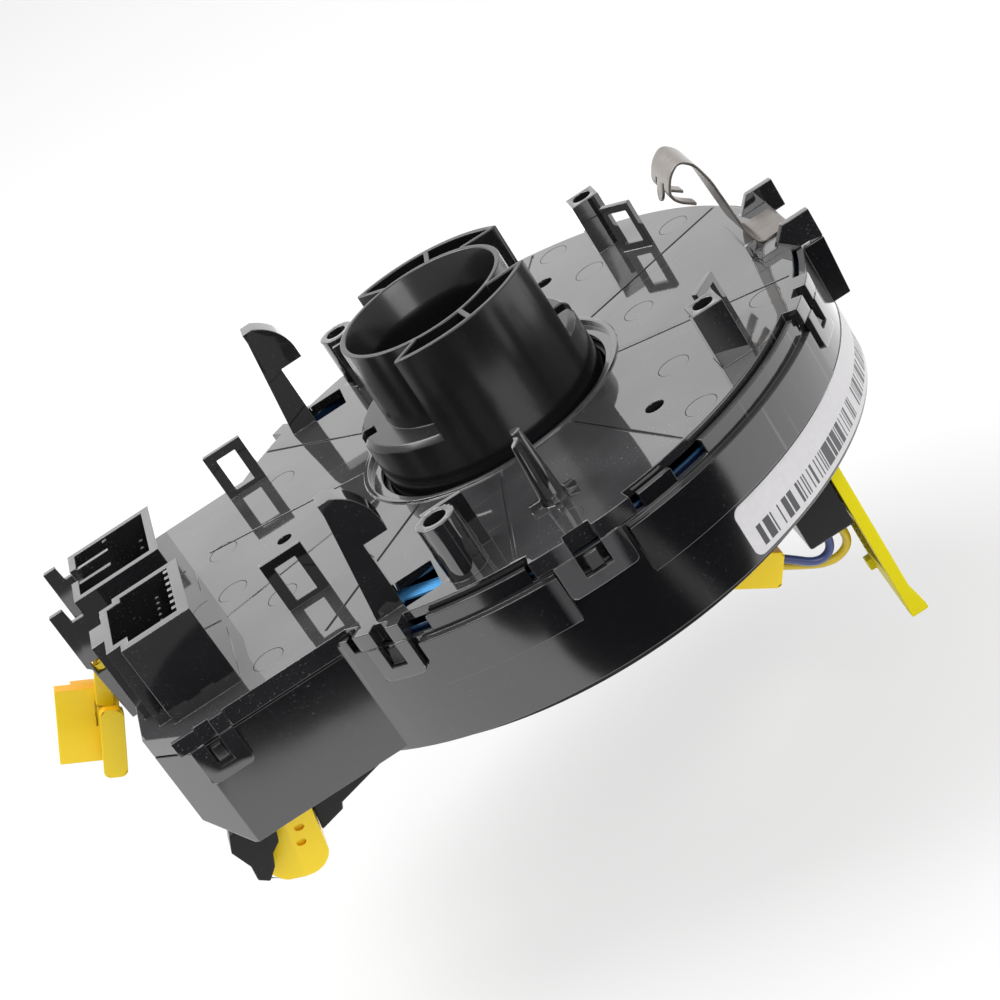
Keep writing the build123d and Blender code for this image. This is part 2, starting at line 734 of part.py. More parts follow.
# Moulding under the plate that holds the pins and takes the cable's outer end
block_top = -plate_thickness - sliver_gap
with BuildPart() as terminal_block:
    corner_box((-69.0, -35.0, -7.0), (-57.4, 8.0, block_top))
    corner_box((-59.4, 7.9, lobe_floor), (-57.4, cable_tail - 1, block_top))
    corner_box((-64.0, -30.0, lobe_floor), (-62.4, -24.0, -6.9))
    corner_box((-64.0, -2.0, lobe_floor), (-62.4, 4.0, -6.9))
terminal_block.part.label = "terminal_block"
export_step(terminal_block.part, "parts/terminal_block.step")

# Contact pins: square wires with a pointed tip, in two rows for each socket
for name, rows, start_y, pitch, count in (
    ("front_socket_pins", front_pin_rows, front_pin_start, front_pin_pitch, front_pin_count),
    ("back_socket_pins", back_pin_rows, back_pin_start, back_pin_pitch, back_pin_count),
):
    with BuildPart() as pins:
        places = [(x, start_y + pitch * index) for x in rows for index in range(count)]
        with BuildSketch(Plane.XY.offset(block_top)):
            with Locations(*places):
                Rectangle(pin_side, pin_side)
        extrude(amount=pin_top - block_top)
        chamfer(pins.faces().sort_by(Axis.Z)[-2 * count:].edges(), length=pin_point)
    pins.part.label = name
    export_step(pins.part, f"parts/{name}.step")

# Flat cable: half turns of shrinking radius, packed on the wall and on the core
half_radii = [cable_outer_radius - cable_pitch / 2 * k for k in range(cable_pack_halves)]
# The first crossing radius brings the core's turns back on centre
crossing = (cable_inner_radius + cable_pitch / 2 * (cable_pack_halves - 1) + half_radii[-1]) / 2
half_radii += [crossing + cable_crossing_radii[0] - cable_crossing_radii[1], *cable_crossing_radii]
half_radii += [cable_inner_radius + cable_pitch / 2 * k for k in reversed(range(cable_pack_halves))]
with BuildPart() as flat_cable:
    with BuildSketch(Plane.XY.offset(cable_bottom)):
        centre = 0.0
        side = -1
        for index, radius in enumerate(half_radii):
            if index:
                centre += side * (half_radii[index - 1] - radius)
            with BuildLine():
                for edge in (radius - cable_thickness / 2, radius + cable_thickness / 2):
                    ThreePointArc(
                        (centre + side * edge, 0), (centre, side * edge), (centre - side * edge, 0),
                    )
                Line(
                    (centre + side * (radius - cable_thickness / 2), 0),
                    (centre + side * (radius + cable_thickness / 2), 0),
                )
                Line(
                    (centre - side * (radius - cable_thickness / 2), 0),
                    (centre - side * (radius + cable_thickness / 2), 0),
                )
            make_face()
            side = -side
    extrude(amount=cable_top - cable_bottom)
    corner_box(
        (-cable_outer_radius - cable_thickness / 2, -0.05, lobe_floor + glide_thickness),
        (-cable_outer_radius + cable_thickness / 2, cable_tail, cable_top),
    )
flat_cable.part.label = "flat_cable"
export_step(flat_cable.part, "parts/flat_cable.step")

# Thin ring that the cable's lower edge slides on
with BuildPart() as glide_sheet:
    with BuildSketch(Plane.XY.offset(floor_top)):
        Circle(inner_radius - 0.3)
        Circle(core_radius + 0.5, mode=Mode.SUBTRACT)
    extrude(amount=glide_thickness)
glide_sheet.part.label = "glide_sheet"
export_step(glide_sheet.part, "parts/glide_sheet.step")

# Leaf clip: one bent strip, from its seat up the riser and over to the tip
clip_seat_end = 57.4
clip_base_z = clip_seat_z + clip_thickness / 2
clip_path = [
    (clip_seat_end, clip_base_z), (51.9, clip_base_z), (50.6, 4.2), (49.3, 15.6), (48.4, 19.3),
    (46.3, 20.6), (44.3, 19.4), (42.9, 16.6), (44.0, 14.9), (46.3, 13.0),
]
with BuildPart() as leaf_clip:
    with BuildSketch(Plane.XZ.offset(-clip_front_y)) as clip_side:
        with BuildLine() as clip_line:
            FilletPolyline(*clip_path, radius=(1.0, 1.5, 3.0, 2.2, 2.2, 2.2, 0.9, 1.0))
        trace(clip_line.edges(), line_width=clip_thickness)
    extrude(amount=-clip_width)
leaf_clip.part.label = "leaf_clip"
export_step(leaf_clip.part, "parts/leaf_clip.step")

# Label: a thin skin on the drum wall
with BuildPart() as label:
    with BuildSketch(Plane.XY.offset(label_bottom)):
        sector(case_radius, case_radius + label_thickness, *label_span)
    extrude(amount=label_top - label_bottom)
label.part.label = "label"
export_step(label.part, "parts/label.step")

# Yellow plug held between the bracket's fins, tilted in the fins' plane
plug_plane = Plane(origin=plug_origin, x_dir=plug_along, z_dir=(0, -1, 0))
plug_end_plane = Plane(
    origin=plug_origin, x_dir=(0, -1, 0), z_dir=(-plug_along[0], 0, -plug_along[2]),
)
with BuildPart() as column_plug:
    plug_low, plug_high = plug_heights
    with BuildSketch(plug_plane.offset(plug_front)):
        with Locations((plug_length / 2, (plug_low + plug_high) / 2)):
            Rectangle(plug_length, plug_high - plug_low)
    extrude(amount=-plug_plate_depth)
    # The body behind the front plate, set back at its left end
    body_length = plug_length - plug_body_inset
    with BuildSketch(plug_plane.offset(plug_front - plug_plate_depth)):
        with Locations((plug_length - body_length / 2, plug_low + plug_body_height / 2)):
            Rectangle(body_length, plug_body_height)
    extrude(amount=-plug_body_depth)
    # Sloped shelf across the front plate, up to the latch arm
    shelf_low, shelf_high = plug_shelf
    with BuildSketch(plug_end_plane):
        with BuildLine():
            Polyline(
                (plug_front, shelf_low), (plug_front - plug_shelf_depth, shelf_high),
                (plug_front - plug_shelf_depth, plug_high + 1), (plug_front + 1, plug_high + 1),
                (plug_front + 1, shelf_low), close=True,
            )
        make_face()
    extrude(amount=-plug_shelf_length, mode=Mode.SUBTRACT)
    # Grip tab in front, on a short link
    with BuildSketch(plug_plane.offset(plug_tab_front)):
        with Locations(plug_tab_place):
            RectangleRounded(*plug_tab_size)
    extrude(amount=-plug_tab_depth)
    with BuildSketch(plug_plane.offset(plug_tab_front - plug_tab_depth + sliver_gap)):
        with Locations((plug_tab_place[0] - 0.9, plug_tab_place[1] - 1.0)):
            Rectangle(*plug_link_size)
    extrude(amount=plug_front - plug_tab_front + plug_tab_depth - 2 * sliver_gap)
    # Latch arm behind the front fin, with a nub that looks out through the fin's window
    with BuildSketch(plug_plane.offset(-low_y - 1.1 - sliver_gap)):
        with Locations(plug_arm_place):
            RectangleRounded(*plug_arm_size)
    extrude(amount=-plug_arm_depth)
    with BuildSketch(plug_plane.offset(-low_y - sliver_gap)):
        with Locations(plug_nub_place):
            Circle(plug_nub_radius)
    extrude(amount=-1.3)
column_plug.part.label = "column_plug"
export_step(column_plug.part, "parts/column_plug.step")

# Hub sleeve: funnel tube, collar and two crescent wings on one barrel
with BuildPart() as hub_sleeve:
    with BuildSketch(Plane.XZ):
        with BuildLine():
            Polyline(
                (bore_radius, disc_bottom), (tube_radius, disc_bottom),
                (tube_radius, collar_top - collar_plate),
                (barrel_radius - barrel_wall, collar_top - collar_plate),
                (barrel_radius - barrel_wall, barrel_bottom), (barrel_radius, barrel_bottom),
                (barrel_radius, collar_top - collar_chamfer),
                (barrel_radius - collar_chamfer, collar_top), (tube_radius, collar_top),
                (tube_radius, sleeve_top), (mouth_radius, sleeve_top),
                (bore_radius, throat_z), close=True,
            )
        make_face()
    revolve(axis=Axis.Z)
    # Crescent wings, one each side, closed by webs that run to the tube
    with BuildSketch(Plane.XY.offset(collar_top - collar_chamfer)):
        for mirror_side in (1, -1):
            angles = sorted((mirror_side * wing_start_angle, mirror_side * wing_end_angle))
            sector(barrel_radius - wing_wall, barrel_radius, *angles)
            for tube_angle, wing_angle in web_angles:
                start = Vector(*polar(tube_radius - web_sink, mirror_side * tube_angle))
                end = Vector(*polar(barrel_radius - wing_wall / 2, mirror_side * wing_angle))
                run = end - start
                middle = start + run * 0.5
                with Locations(Location(
                    (middle.X, middle.Y, 0), (0, 0, degrees(atan2(run.Y, run.X))),
                )):
                    Rectangle(run.length, web_wall)
    extrude(amount=sleeve_top - collar_top + collar_chamfer)
    # Notches in the collar, left and right
    for side in (1, -1):
        notch_ends = sorted((side * (barrel_radius - collar_notch_reach), side * (barrel_radius + 1)))
        corner_box(
            (notch_ends[0], -collar_notch_width / 2, collar_top - collar_notch_depth),
            (notch_ends[1], collar_notch_width / 2, collar_top + 1), Mode.SUBTRACT,
        )
hub_sleeve.part.label = "hub_sleeve"
export_step(hub_sleeve.part, "parts/hub_sleeve.step")

# Rotor disc: wheel-side disc, round core for the cable, ribs, lugs and a socket
wheel_socket_centre = (-4.0, 37.0)
wheel_socket_size = (20.0, 11.0)
wheel_socket_height = 12.0
wheel_pin_length = 7.0
with BuildPart() as rotor_disc:
    with BuildSketch(Plane.XZ):
        with BuildLine():
            Polyline(
                (disc_bore_radius, disc_bottom - rotor_boss_height),
                (rotor_boss_radius, disc_bottom - rotor_boss_height),
                (rotor_boss_radius, disc_bottom), (disc_radius, disc_bottom), (disc_radius, disc_top),
                (floor_hole_radius - 0.4, disc_top), (floor_hole_radius - 0.4, floor_top - fit_gap),
                (floor_hole_radius - 0.4 - rim_rib_wall, floor_top - fit_gap),
                (floor_hole_radius - 0.4 - rim_rib_wall, disc_top),
                (core_radius, disc_top), (core_radius, core_top),
                (core_radius - core_wall, core_top), (core_radius - core_wall, disc_top),
                (disc_bore_radius, disc_top), close=True,
            )
        make_face()
    revolve(axis=Axis.Z)
    # Ribs on the wheel side
    with BuildSketch(Plane.XY.offset(disc_bottom)):
        Circle(disc_radius)
        Circle(disc_radius - rim_rib_wall, mode=Mode.SUBTRACT)
        with PolarLocations((rotor_boss_radius + disc_radius) / 2 - 0.4, rotor_rib_count, start_angle=15):
            Rectangle(disc_radius - rotor_boss_radius - 1.0, rotor_rib_width)
    extrude(amount=-rotor_rib_height)
    # Flat pads under the lead block and the arm, and the key's slot
    corner_box(
        (block_x[0] - 0.2, block_y[0] - 0.2, disc_bottom - rotor_rib_height - 1),
        (key_x[1] + 0.6, block_y[1] + 0.8, disc_bottom), Mode.SUBTRACT,
    )
    corner_box(
        (-disc_radius, arm_y[0] - 0.2, disc_bottom - rotor_rib_height - 1),
        (arm_root_x + 0.2, arm_y[1] + 0.2, disc_bottom), Mode.SUBTRACT,
    )
    corner_box(
        (key_x[0] - key_slot_gap, key_y[0] - key_slot_gap, disc_bottom - 1),
        (key_x[1] + key_slot_gap, key_y[1] + key_slot_gap, disc_top + 1), Mode.SUBTRACT,
    )
    # Lugs that the steering wheel drives
    with Locations(
        (0, drive_lug_y, disc_bottom - drive_lug_size[2] / 2),
        (0, -drive_lug_y, disc_bottom - drive_lug_size[2] / 2),
    ):
        Box(*drive_lug_size)
    # Socket for the wheel's own wiring
    with BuildSketch(Plane.XY.offset(disc_bottom)):
        with Locations(wheel_socket_centre):
            Rectangle(*wheel_socket_size)
            Rectangle(
                wheel_socket_size[0] - 2 * socket_wall, wheel_socket_size[1] - 2 * socket_wall,
                mode=Mode.SUBTRACT,
            )
    extrude(amount=-wheel_socket_height)
    with BuildSketch(Plane.XY.offset(disc_bottom)):
        with Locations(wheel_socket_centre):
            Rectangle(
                wheel_socket_size[0] - 2 * socket_wall, wheel_socket_size[1] - 2 * socket_wall,
            )
    extrude(amount=-rotor_rib_height - 0.1, mode=Mode.SUBTRACT)
rotor_disc.part.label = "rotor_disc"
export_step(rotor_disc.part, "parts/rotor_disc.step")

# Pins of the wheel-side socket
with BuildPart() as wheel_socket_pins:
    with BuildSketch(Plane.XY.offset(disc_bottom)):
        with Locations(wheel_socket_centre):
            with GridLocations(2.6, 3.0, 5, 2):
                Rectangle(pin_side, pin_side)
    extrude(amount=-wheel_pin_length)
wheel_socket_pins.part.label = "wheel_socket_pins"
export_step(wheel_socket_pins.part, "parts/wheel_socket_pins.step")

# Small block on the core that takes the flat cable's inner end
with BuildPart() as rotor_terminal:
    with BuildSketch(Plane.XY.offset(disc_top + 4.0)):
        sector(core_radius, cable_inner_radius - cable_thickness / 2 - fit_gap, 168, 192)
    extrude(amount=9.0)
rotor_terminal.part.label = "rotor_terminal"
export_step(rotor_terminal.part, "parts/rotor_terminal.step")

# Lead block: open towards the wheel, with the two leads coming out of it
with BuildPart() as lead_block:
    corner_box((block_x[0], block_y[0], block_bottom), (block_x[1], block_y[1], disc_bottom))
    fillet(lead_block.faces().sort_by(Axis.Z)[0].edges(), radius=0.5)
    corner_box(
        (block_x[0] + block_wall, block_y[0] + block_wall, block_bottom - 1),
        (block_x[1] - block_wall, block_y[1] - block_wall, block_ceiling), Mode.SUBTRACT,
    )
lead_block.part.label = "lead_block"
export_step(lead_block.part, "parts/lead_block.step")

# Plug at the end of those leads, tilted in its own plane
right_plug_plane = Plane(origin=right_plug_tip, x_dir=right_plug_along, z_dir=(0, -1, 0))
with BuildPart() as airbag_plug_right:
    with BuildSketch(right_plug_plane.offset(right_plug_depth / 2)):
        with Locations((-right_plug_length / 2, right_plug_low + right_plug_width / 2)):
            RectangleRounded(right_plug_length, right_plug_width, right_plug_corner)
    extrude(amount=-right_plug_depth)
    with BuildSketch(Plane(
        origin=right_plug_tip, x_dir=(0, 1, 0), z_dir=right_plug_along,
    )):
        with Locations((0, (lead_entries[0] + lead_entries[1]) / 2)):
            RectangleRounded(*lead_entry_pocket, 1.0)
    extrude(amount=-lead_entry_depth, mode=Mode.SUBTRACT)
airbag_plug_right.part.label = "airbag_plug_right"
export_step(airbag_plug_right.part, "parts/airbag_plug_right.step")

# Leads: straight runs joined by tangent arcs, from the block to the plug, with flats
# round the section in place of a true circle of the same area
lead_radius = lead_diameter / 2 * (2 * pi / lead_sides / sin(2 * pi / lead_sides)) ** 0.5
for name, route in (("lead_yellow", yellow_route), ("lead_blue", blue_route)):
    turns = []
    for before, corner, after in zip(route, route[1:], route[2:]):
        run_in = Vector(*corner) - Vector(*before)
        run_out = Vector(*after) - Vector(*corner)
        half_turn = radians(run_in.get_angle(run_out)) / 2
        turns.append(0.45 * min(run_in.length, run_out.length) / tan(half_turn))
    print(name, "bend radii", [round(radius, 1) for radius in turns])
    with BuildPart() as lead:
        with BuildLine() as lead_line:
            FilletPolyline(*route, radius=turns)
        with BuildSketch(Plane(origin=route[0], z_dir=lead_line.line % 0)):
            RegularPolygon(lead_radius, lead_sides)
        sweep()
    lead.part.label = name
    export_step(lead.part, f"parts/{name}.step")

# Arm that carries the left plug, standing out past the disc's rim
with BuildPart() as lead_arm:
    with BuildSketch(Plane.XZ.offset(-arm_y[0])):
        with BuildLine():
            Polyline(
                (arm_root_x, disc_bottom), *((x, disc_bottom + drop) for x, drop in arm_outline),
                close=True,
            )
        make_face()
    extrude(amount=arm_y[0] - arm_y[1])
lead_arm.part.label = "lead_arm"
export_step(lead_arm.part, "parts/lead_arm.step")

# Left plug with its clamp and lock slide, all tilted in one plane
left_plug_plane = Plane(origin=left_plug_origin, x_dir=(0.978, 0, -0.208), z_dir=(0, -1, 0))
with BuildPart() as airbag_plug_left:
    with BuildSketch(left_plug_plane.offset(left_plug_front)):
        with BuildLine():
            Polyline((-10.6, -6.0), (-10.6, 5.0), (0.45, 5.0), (0.45, -6.8))
            RadiusArc((0.45, -6.8), (-3.6, -9.8), 4.2)
            Line((-3.6, -9.8), (-7.6, -9.8))
            RadiusArc((-7.6, -9.8), (-10.6, -6.0), 4.4)
        make_face()
    extrude(amount=-left_plug_depth)
    # The front slopes back on the left, under the clamp
    with BuildSketch(left_plug_plane.offset(left_plug_front)):
        with Locations((-2.6, -0.9), (-3.2, -3.6)):
            Ellipse(0.85, 0.6)
    extrude(amount=-0.8, mode=Mode.SUBTRACT)
    slope_start, slope_run_back = left_plug_slope
    with BuildSketch(Plane(origin=left_plug_plane.origin, x_dir=left_plug_plane.x_dir,
                           z_dir=-left_plug_plane.y_dir)):
        with BuildLine():
            Polyline(
                (slope_start, left_plug_front), (-11.0, left_plug_front - slope_run_back),
                (-11.0, left_plug_front + 1), (slope_start, left_plug_front + 1), close=True,
            )
        make_face()
    extrude(amount=12, both=True, mode=Mode.SUBTRACT)
airbag_plug_left.part.label = "airbag_plug_left"
export_step(airbag_plug_left.part, "parts/airbag_plug_left.step")

with BuildPart() as plug_clamp:
    with BuildSketch(left_plug_plane.offset(clamp_front)):
        with BuildLine():
            Polyline(
                (-13.4, 3.2), (-14.2, 0.0), (-12.2, -3.6), (-12.0, -6.4), (-10.2, -7.4),
                (-8.6, -5.2), (-8.0, -2.8), (-6.4, -1.2), (-6.0, 1.4), (-9.0, 3.6), close=True,
            )
        make_face()
    extrude(amount=-clamp_thickness)
    with BuildSketch(left_plug_plane.offset(clamp_front - clamp_thickness)):
        with BuildLine():
            Polyline(
                (-13.4, 3.2), (-14.2, 0.0), (-12.2, -3.6), (-12.0, -6.4), (-10.7, -7.0),
                (-10.7, 3.2), close=True,
            )
        make_face()
    extrude(amount=-clamp_wing_depth)
plug_clamp.part.label = "plug_clamp"
export_step(plug_clamp.part, "parts/plug_clamp.step")

with BuildPart() as plug_lock:
    with BuildSketch(left_plug_plane.offset(lock_front)):
        with BuildLine():
            Polyline(
                (-14.8, 5.0), (-14.2, 1.2), (-13.0, 0.4), (-14.2, -2.6), (-13.6, -4.8),
                (-12.2, -5.4), (-11.8, -7.4), (-10.7, -7.4), (-10.7, 5.0), close=True,
            )
        make_face()
    extrude(amount=-lock_depth)
plug_lock.part.label = "plug_lock"
export_step(plug_lock.part, "parts/plug_lock.step")

# Lock key: flat bar with a ribbed left face, a rear tab and a flared foot
with BuildPart() as lock_key:
    with BuildSketch(Plane.YZ.offset(key_x[0])):
        with BuildLine():
            Polyline(
                (key_y[0], disc_top), (key_y[1], disc_top), (key_y[1], key_taper_z),
                (key_y[0] + key_foot_depth, key_bottom), (key_y[0], key_bottom), close=True,
            )
        make_face()
    extrude(amount=key_x[1] - key_x[0])
    with BuildSketch(Plane.XZ.offset(-key_y[0])):
        with BuildLine():
            Polyline(
                (key_x[1] - 0.2, key_bottom + key_foot_rise), (key_x[1], key_bottom + key_foot_rise),
                (key_x[1] + key_foot_flare, key_bottom + 1.0), (key_x[1] + key_foot_flare, key_bottom),
                (key_x[1] - 0.2, key_bottom), close=True,
            )
        make_face()
    extrude(amount=-key_foot_depth)
    corner_box(
        (key_x[0] - 1.1, key_y[1] - 2.2, key_taper_z - 0.4), (key_x[0], key_y[1], key_taper_z + 1.8),
    )
    # Pockets between the grip ribs
    rib_pitch = (block_bottom - key_taper_z - key_rib_clear) / key_rib_count
    for index in range(key_rib_count):
        pocket_low = key_taper_z + 2.6 + index * rib_pitch
        corner_box(
            (key_x[0], key_y[0] + 1.7, pocket_low),
            (key_x[0] + key_pocket[0], key_y[1] - 0.8, pocket_low + key_pocket[1]), Mode.SUBTRACT,
        )
lock_key.part.label = "lock_key"
export_step(lock_key.part, "parts/lock_key.step")
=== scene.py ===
import json
import math
import bmesh
import bpy
import numpy as np
from mathutils import Matrix, Vector


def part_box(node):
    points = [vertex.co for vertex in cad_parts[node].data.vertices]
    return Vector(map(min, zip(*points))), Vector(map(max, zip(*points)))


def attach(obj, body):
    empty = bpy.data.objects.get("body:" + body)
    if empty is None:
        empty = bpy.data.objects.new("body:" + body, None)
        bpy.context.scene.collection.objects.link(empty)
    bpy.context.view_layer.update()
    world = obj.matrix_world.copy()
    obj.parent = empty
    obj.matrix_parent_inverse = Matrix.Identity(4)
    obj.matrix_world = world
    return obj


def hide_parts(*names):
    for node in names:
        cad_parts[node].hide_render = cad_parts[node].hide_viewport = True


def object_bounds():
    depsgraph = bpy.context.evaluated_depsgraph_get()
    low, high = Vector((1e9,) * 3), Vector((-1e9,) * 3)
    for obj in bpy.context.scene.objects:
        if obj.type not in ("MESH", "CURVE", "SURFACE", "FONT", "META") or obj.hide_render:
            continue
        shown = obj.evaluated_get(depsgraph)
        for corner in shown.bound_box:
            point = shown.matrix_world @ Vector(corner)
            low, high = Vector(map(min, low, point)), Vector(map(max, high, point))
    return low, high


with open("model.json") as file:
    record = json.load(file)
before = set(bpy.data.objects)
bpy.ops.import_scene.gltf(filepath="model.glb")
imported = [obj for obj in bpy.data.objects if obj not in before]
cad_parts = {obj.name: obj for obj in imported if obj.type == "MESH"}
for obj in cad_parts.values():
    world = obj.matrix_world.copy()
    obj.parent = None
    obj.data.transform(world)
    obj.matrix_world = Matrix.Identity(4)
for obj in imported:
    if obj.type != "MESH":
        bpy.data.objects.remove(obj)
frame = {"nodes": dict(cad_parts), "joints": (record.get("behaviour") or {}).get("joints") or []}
cad_box = [list(corner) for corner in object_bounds()]
scene = bpy.context.scene
scene.view_settings.view_transform = "Standard"

# The camera stands in front of the drum and a little above it, tipped on its side by
# a third of a right angle, as the clock spring was held when it was photographed.
# It aims at a point just left of the steering axis, half way down the drum.
aim = Vector((-0.006946, 0.0, -0.014924))
camera_azimuth = math.radians(1.239)
camera_elevation = math.radians(23.818)
camera_tip = math.radians(-33.486)
camera_distance = 0.454894

away = Vector((
    math.sin(camera_azimuth) * math.cos(camera_elevation),
    -math.cos(camera_azimuth) * math.cos(camera_elevation),
    math.sin(camera_elevation),
))
level_right = Vector((math.cos(camera_azimuth), math.sin(camera_azimuth), 0.0))
level_up = away.cross(level_right)
right = level_right * math.cos(camera_tip) + level_up * math.sin(camera_tip)
up = level_up * math.cos(camera_tip) - level_right * math.sin(camera_tip)
camera = bpy.data.objects.new("camera", bpy.data.cameras.new("camera"))
scene.collection.objects.link(camera)
camera.data.sensor_width = 36.0
camera.data.lens = 97.198
camera.data.clip_start = 0.01
placing = Matrix((right, up, away)).transposed().to_4x4()
placing.translation = aim + away * camera_distance
camera.matrix_world = placing
scene.camera = camera

# Two thin stranded leads in PVC, one yellow and one blue, run from the lead block down
# to the airbag plug. The yellow one swings out in a small loop under the block, the
# blue one turns more tightly beside it. Both are pushed into the plug's upper face.
lead_width = 0.0015


def plug_point(height, reach, across):
    """A point on the plug's tilted lead face: height up that face, reach out from it."""
    face = np.array([0.023, 0.0, -0.0431])
    outward = np.array([0.8290, 0.0, -0.5593])
    upward = np.array([0.5593, 0.0, 0.8290])
    return tuple(face + upward * height + outward * reach + np.array([0.0, across, 0.0]))


yellow_line = [
    (0.0369, -0.0268, -0.0264), (0.0369, -0.0268, -0.0324), (0.0372, -0.0266, -0.0383),
    (0.0379, -0.0256, -0.0440), (0.0336, -0.0252, -0.0459),
    plug_point(0.0034, 0.0030, -0.0253), plug_point(0.0037, -0.0026, -0.0256),
    plug_point(0.0037, -0.0068, -0.0256),
]
blue_line = [
    (0.0347, -0.0268, -0.0264), (0.0347, -0.0268, -0.0322), (0.0350, -0.0269, -0.0380),
    (0.0346, -0.0271, -0.0424), (0.0314, -0.0271, -0.0434),
    plug_point(0.0052, 0.0020, -0.0268), plug_point(0.0055, -0.0028, -0.0264),
    plug_point(0.0055, -0.0068, -0.0264),
]


def shader_group(name, inputs, outputs):
    """An empty shader node group with its named sockets, and its two end nodes."""
    group = bpy.data.node_groups.new(name, "ShaderNodeTree")
    for label, kind, value in inputs:
        socket = group.interface.new_socket(label, in_out="INPUT", socket_type=kind)
        socket.default_value = value
    for label, kind in outputs:
        group.interface.new_socket(label, in_out="OUTPUT", socket_type=kind)
    return group, group.nodes.new("NodeGroupInput"), group.nodes.new("NodeGroupOutput")


def chain(tree, kind, settings=None, **links):
    """A node with its settings and its inputs, each a number, a colour or another output.
    An input is named, or given by its place as i0, i1 and so on."""
    node = tree.nodes.new(kind)
    for key, value in (settings or {}).items():
        setattr(node, key, value)
    for key, value in links.items():
        by_place = key[0] == "i" and key[1:].isdigit()
        socket = node.inputs[int(key[1:])] if by_place else node.inputs[key]
        if isinstance(value, bpy.types.NodeSocket):
            tree.links.new(value, socket)
        else:
            socket.default_value = value
    return node


def sums(tree, operation, *values, clamp=False):
    """The result of a Math node on up to three values."""
    links = {f"i{place}": value for place, value in enumerate(values)}
    settings = {"operation": operation, "use_clamp": clamp}
    return chain(tree, "ShaderNodeMath", settings, **links).outputs[0]


def ramp(tree, value, low, high, start=0.0, end=1.0, smooth=False):
    """The value carried from low..high to start..end, held at both ends."""
    kind = "SMOOTHSTEP" if smooth else "LINEAR"
    return chain(tree, "ShaderNodeMapRange", {"interpolation_type": kind},
                 i0=value, i1=low, i2=high, i3=start, i4=end).outputs[0]


# What settles on a part in a workshop: an even haze on faces that look up, thicker in slow
# drifts, and fine specks of dust, many on faces that look up and a few on upright ones.
dust, dust_in, dust_out = shader_group(
    "settled_dust",
    [("Vector", "NodeSocketVector", (0, 0, 0)), ("Upward", "NodeSocketFloat", 0.0),
     ("Haze", "NodeSocketFloat", 0.1), ("Sides", "NodeSocketFloat", 0.0),
     ("Specks", "NodeSocketFloat", 0.5)],
    [("Haze", "NodeSocketFloat"), ("Specks", "NodeSocketFloat")],
)
drift = chain(dust, "ShaderNodeTexNoise", i0=dust_in.outputs["Vector"], Scale=55.0, Detail=3.0).outputs[0]
grains = chain(dust, "ShaderNodeTexNoise", i0=dust_in.outputs["Vector"], Scale=2300.0, Detail=2.0,
               Roughness=0.7).outputs[0]
facing = ramp(dust, dust_in.outputs["Upward"], 0.55, 0.95)
hazed = sums(dust, "MULTIPLY", sums(dust, "MAXIMUM", facing, dust_in.outputs["Sides"]),
             dust_in.outputs["Haze"])
hazed = sums(dust, "MULTIPLY", hazed, ramp(dust, drift, 0.3, 0.7, 0.6, 1.4))
specked = sums(dust, "MULTIPLY", ramp(dust, grains, 0.63, 0.72), ramp(dust, drift, 0.35, 0.7, 0.1, 1.0))
specked = sums(dust, "MULTIPLY", specked, ramp(dust, facing, 0.0, 1.0, 0.35, 1.0))
specked = sums(dust, "MULTIPLY", specked, dust_in.outputs["Specks"], clamp=True)
dust.links.new(hazed, dust_out.inputs["Haze"])
dust.links.new(specked, dust_out.inputs["Specks"])

# The skin of a moulding: a slow waviness that cooling leaves in the plastic, under a very
# fine grain from the steel of the mould.
skin, skin_in, skin_out = shader_group(
    "moulded_skin",
    [("Vector", "NodeSocketVector", (0, 0, 0)), ("Wave", "NodeSocketFloat", 1.0),
     ("Grain", "NodeSocketFloat", 1.0)],
    [("Height", "NodeSocketFloat")],
)
wave_noise = chain(skin, "ShaderNodeTexNoise", i0=skin_in.outputs["Vector"], Scale=110.0,
                   Detail=1.0).outputs[0]
grain_noise = chain(skin, "ShaderNodeTexNoise", i0=skin_in.outputs["Vector"], Scale=2400.0,
                    Detail=2.0).outputs[0]
waved = sums(skin, "MULTIPLY", wave_noise, skin_in.outputs["Wave"])
skin.links.new(sums(skin, "MULTIPLY_ADD", grain_noise, skin_in.outputs["Grain"], waved),
               skin_out.inputs["Height"])

# Hairline scratches from handling: three crossing sets of long thin streaks, each a noise
# that is drawn out along its own direction.
hairlines, hair_in, hair_out = shader_group(
    "hairline_scratches",
    [("Vector", "NodeSocketVector", (0, 0, 0)), ("Amount", "NodeSocketFloat", 1.0)],
    [("Mask", "NodeSocketFloat")],
)
streak_sets = (
    (0.5, (9.0, 900.0, 9.0)),
    (-0.9, (14.0, 1300.0, 14.0)),
    (1.9, (20.0, 1000.0, 20.0)),
)
joined = 0.0
for turn, stretch in streak_sets:
    turned = chain(hairlines, "ShaderNodeMapping", i0=hair_in.outputs["Vector"],
                   Rotation=(0.0, 0.0, turn), Scale=stretch).outputs[0]
    streak = chain(hairlines, "ShaderNodeTexNoise", i0=turned, Scale=1.0, Detail=1.0).outputs[0]
    joined = sums(hairlines, "MAXIMUM", joined, ramp(hairlines, streak, 0.72, 0.78))
hairlines.links.new(sums(hairlines, "MULTIPLY", joined, hair_in.outputs["Amount"], clamp=True),
                    hair_out.inputs["Mask"])


def paint(red, green, blue):
    """A colour given as screen values from 0 to 255, made linear."""
    share = np.array([red, green, blue]) / 255.0
    linear = np.where(share <= 0.04045, share / 12.92, ((share + 0.055) / 1.055) ** 2.4)
    return tuple(float(value) for value in linear)


def new_finish(name):
    """An empty material with its nodes, its shader and the object's own coordinates."""
    material = bpy.data.materials.new(name)
    material.use_nodes = True
    tree = material.node_tree
    place = chain(tree, "ShaderNodeTexCoord").outputs["Object"]
    return material, tree, tree.nodes["Principled BSDF"], place


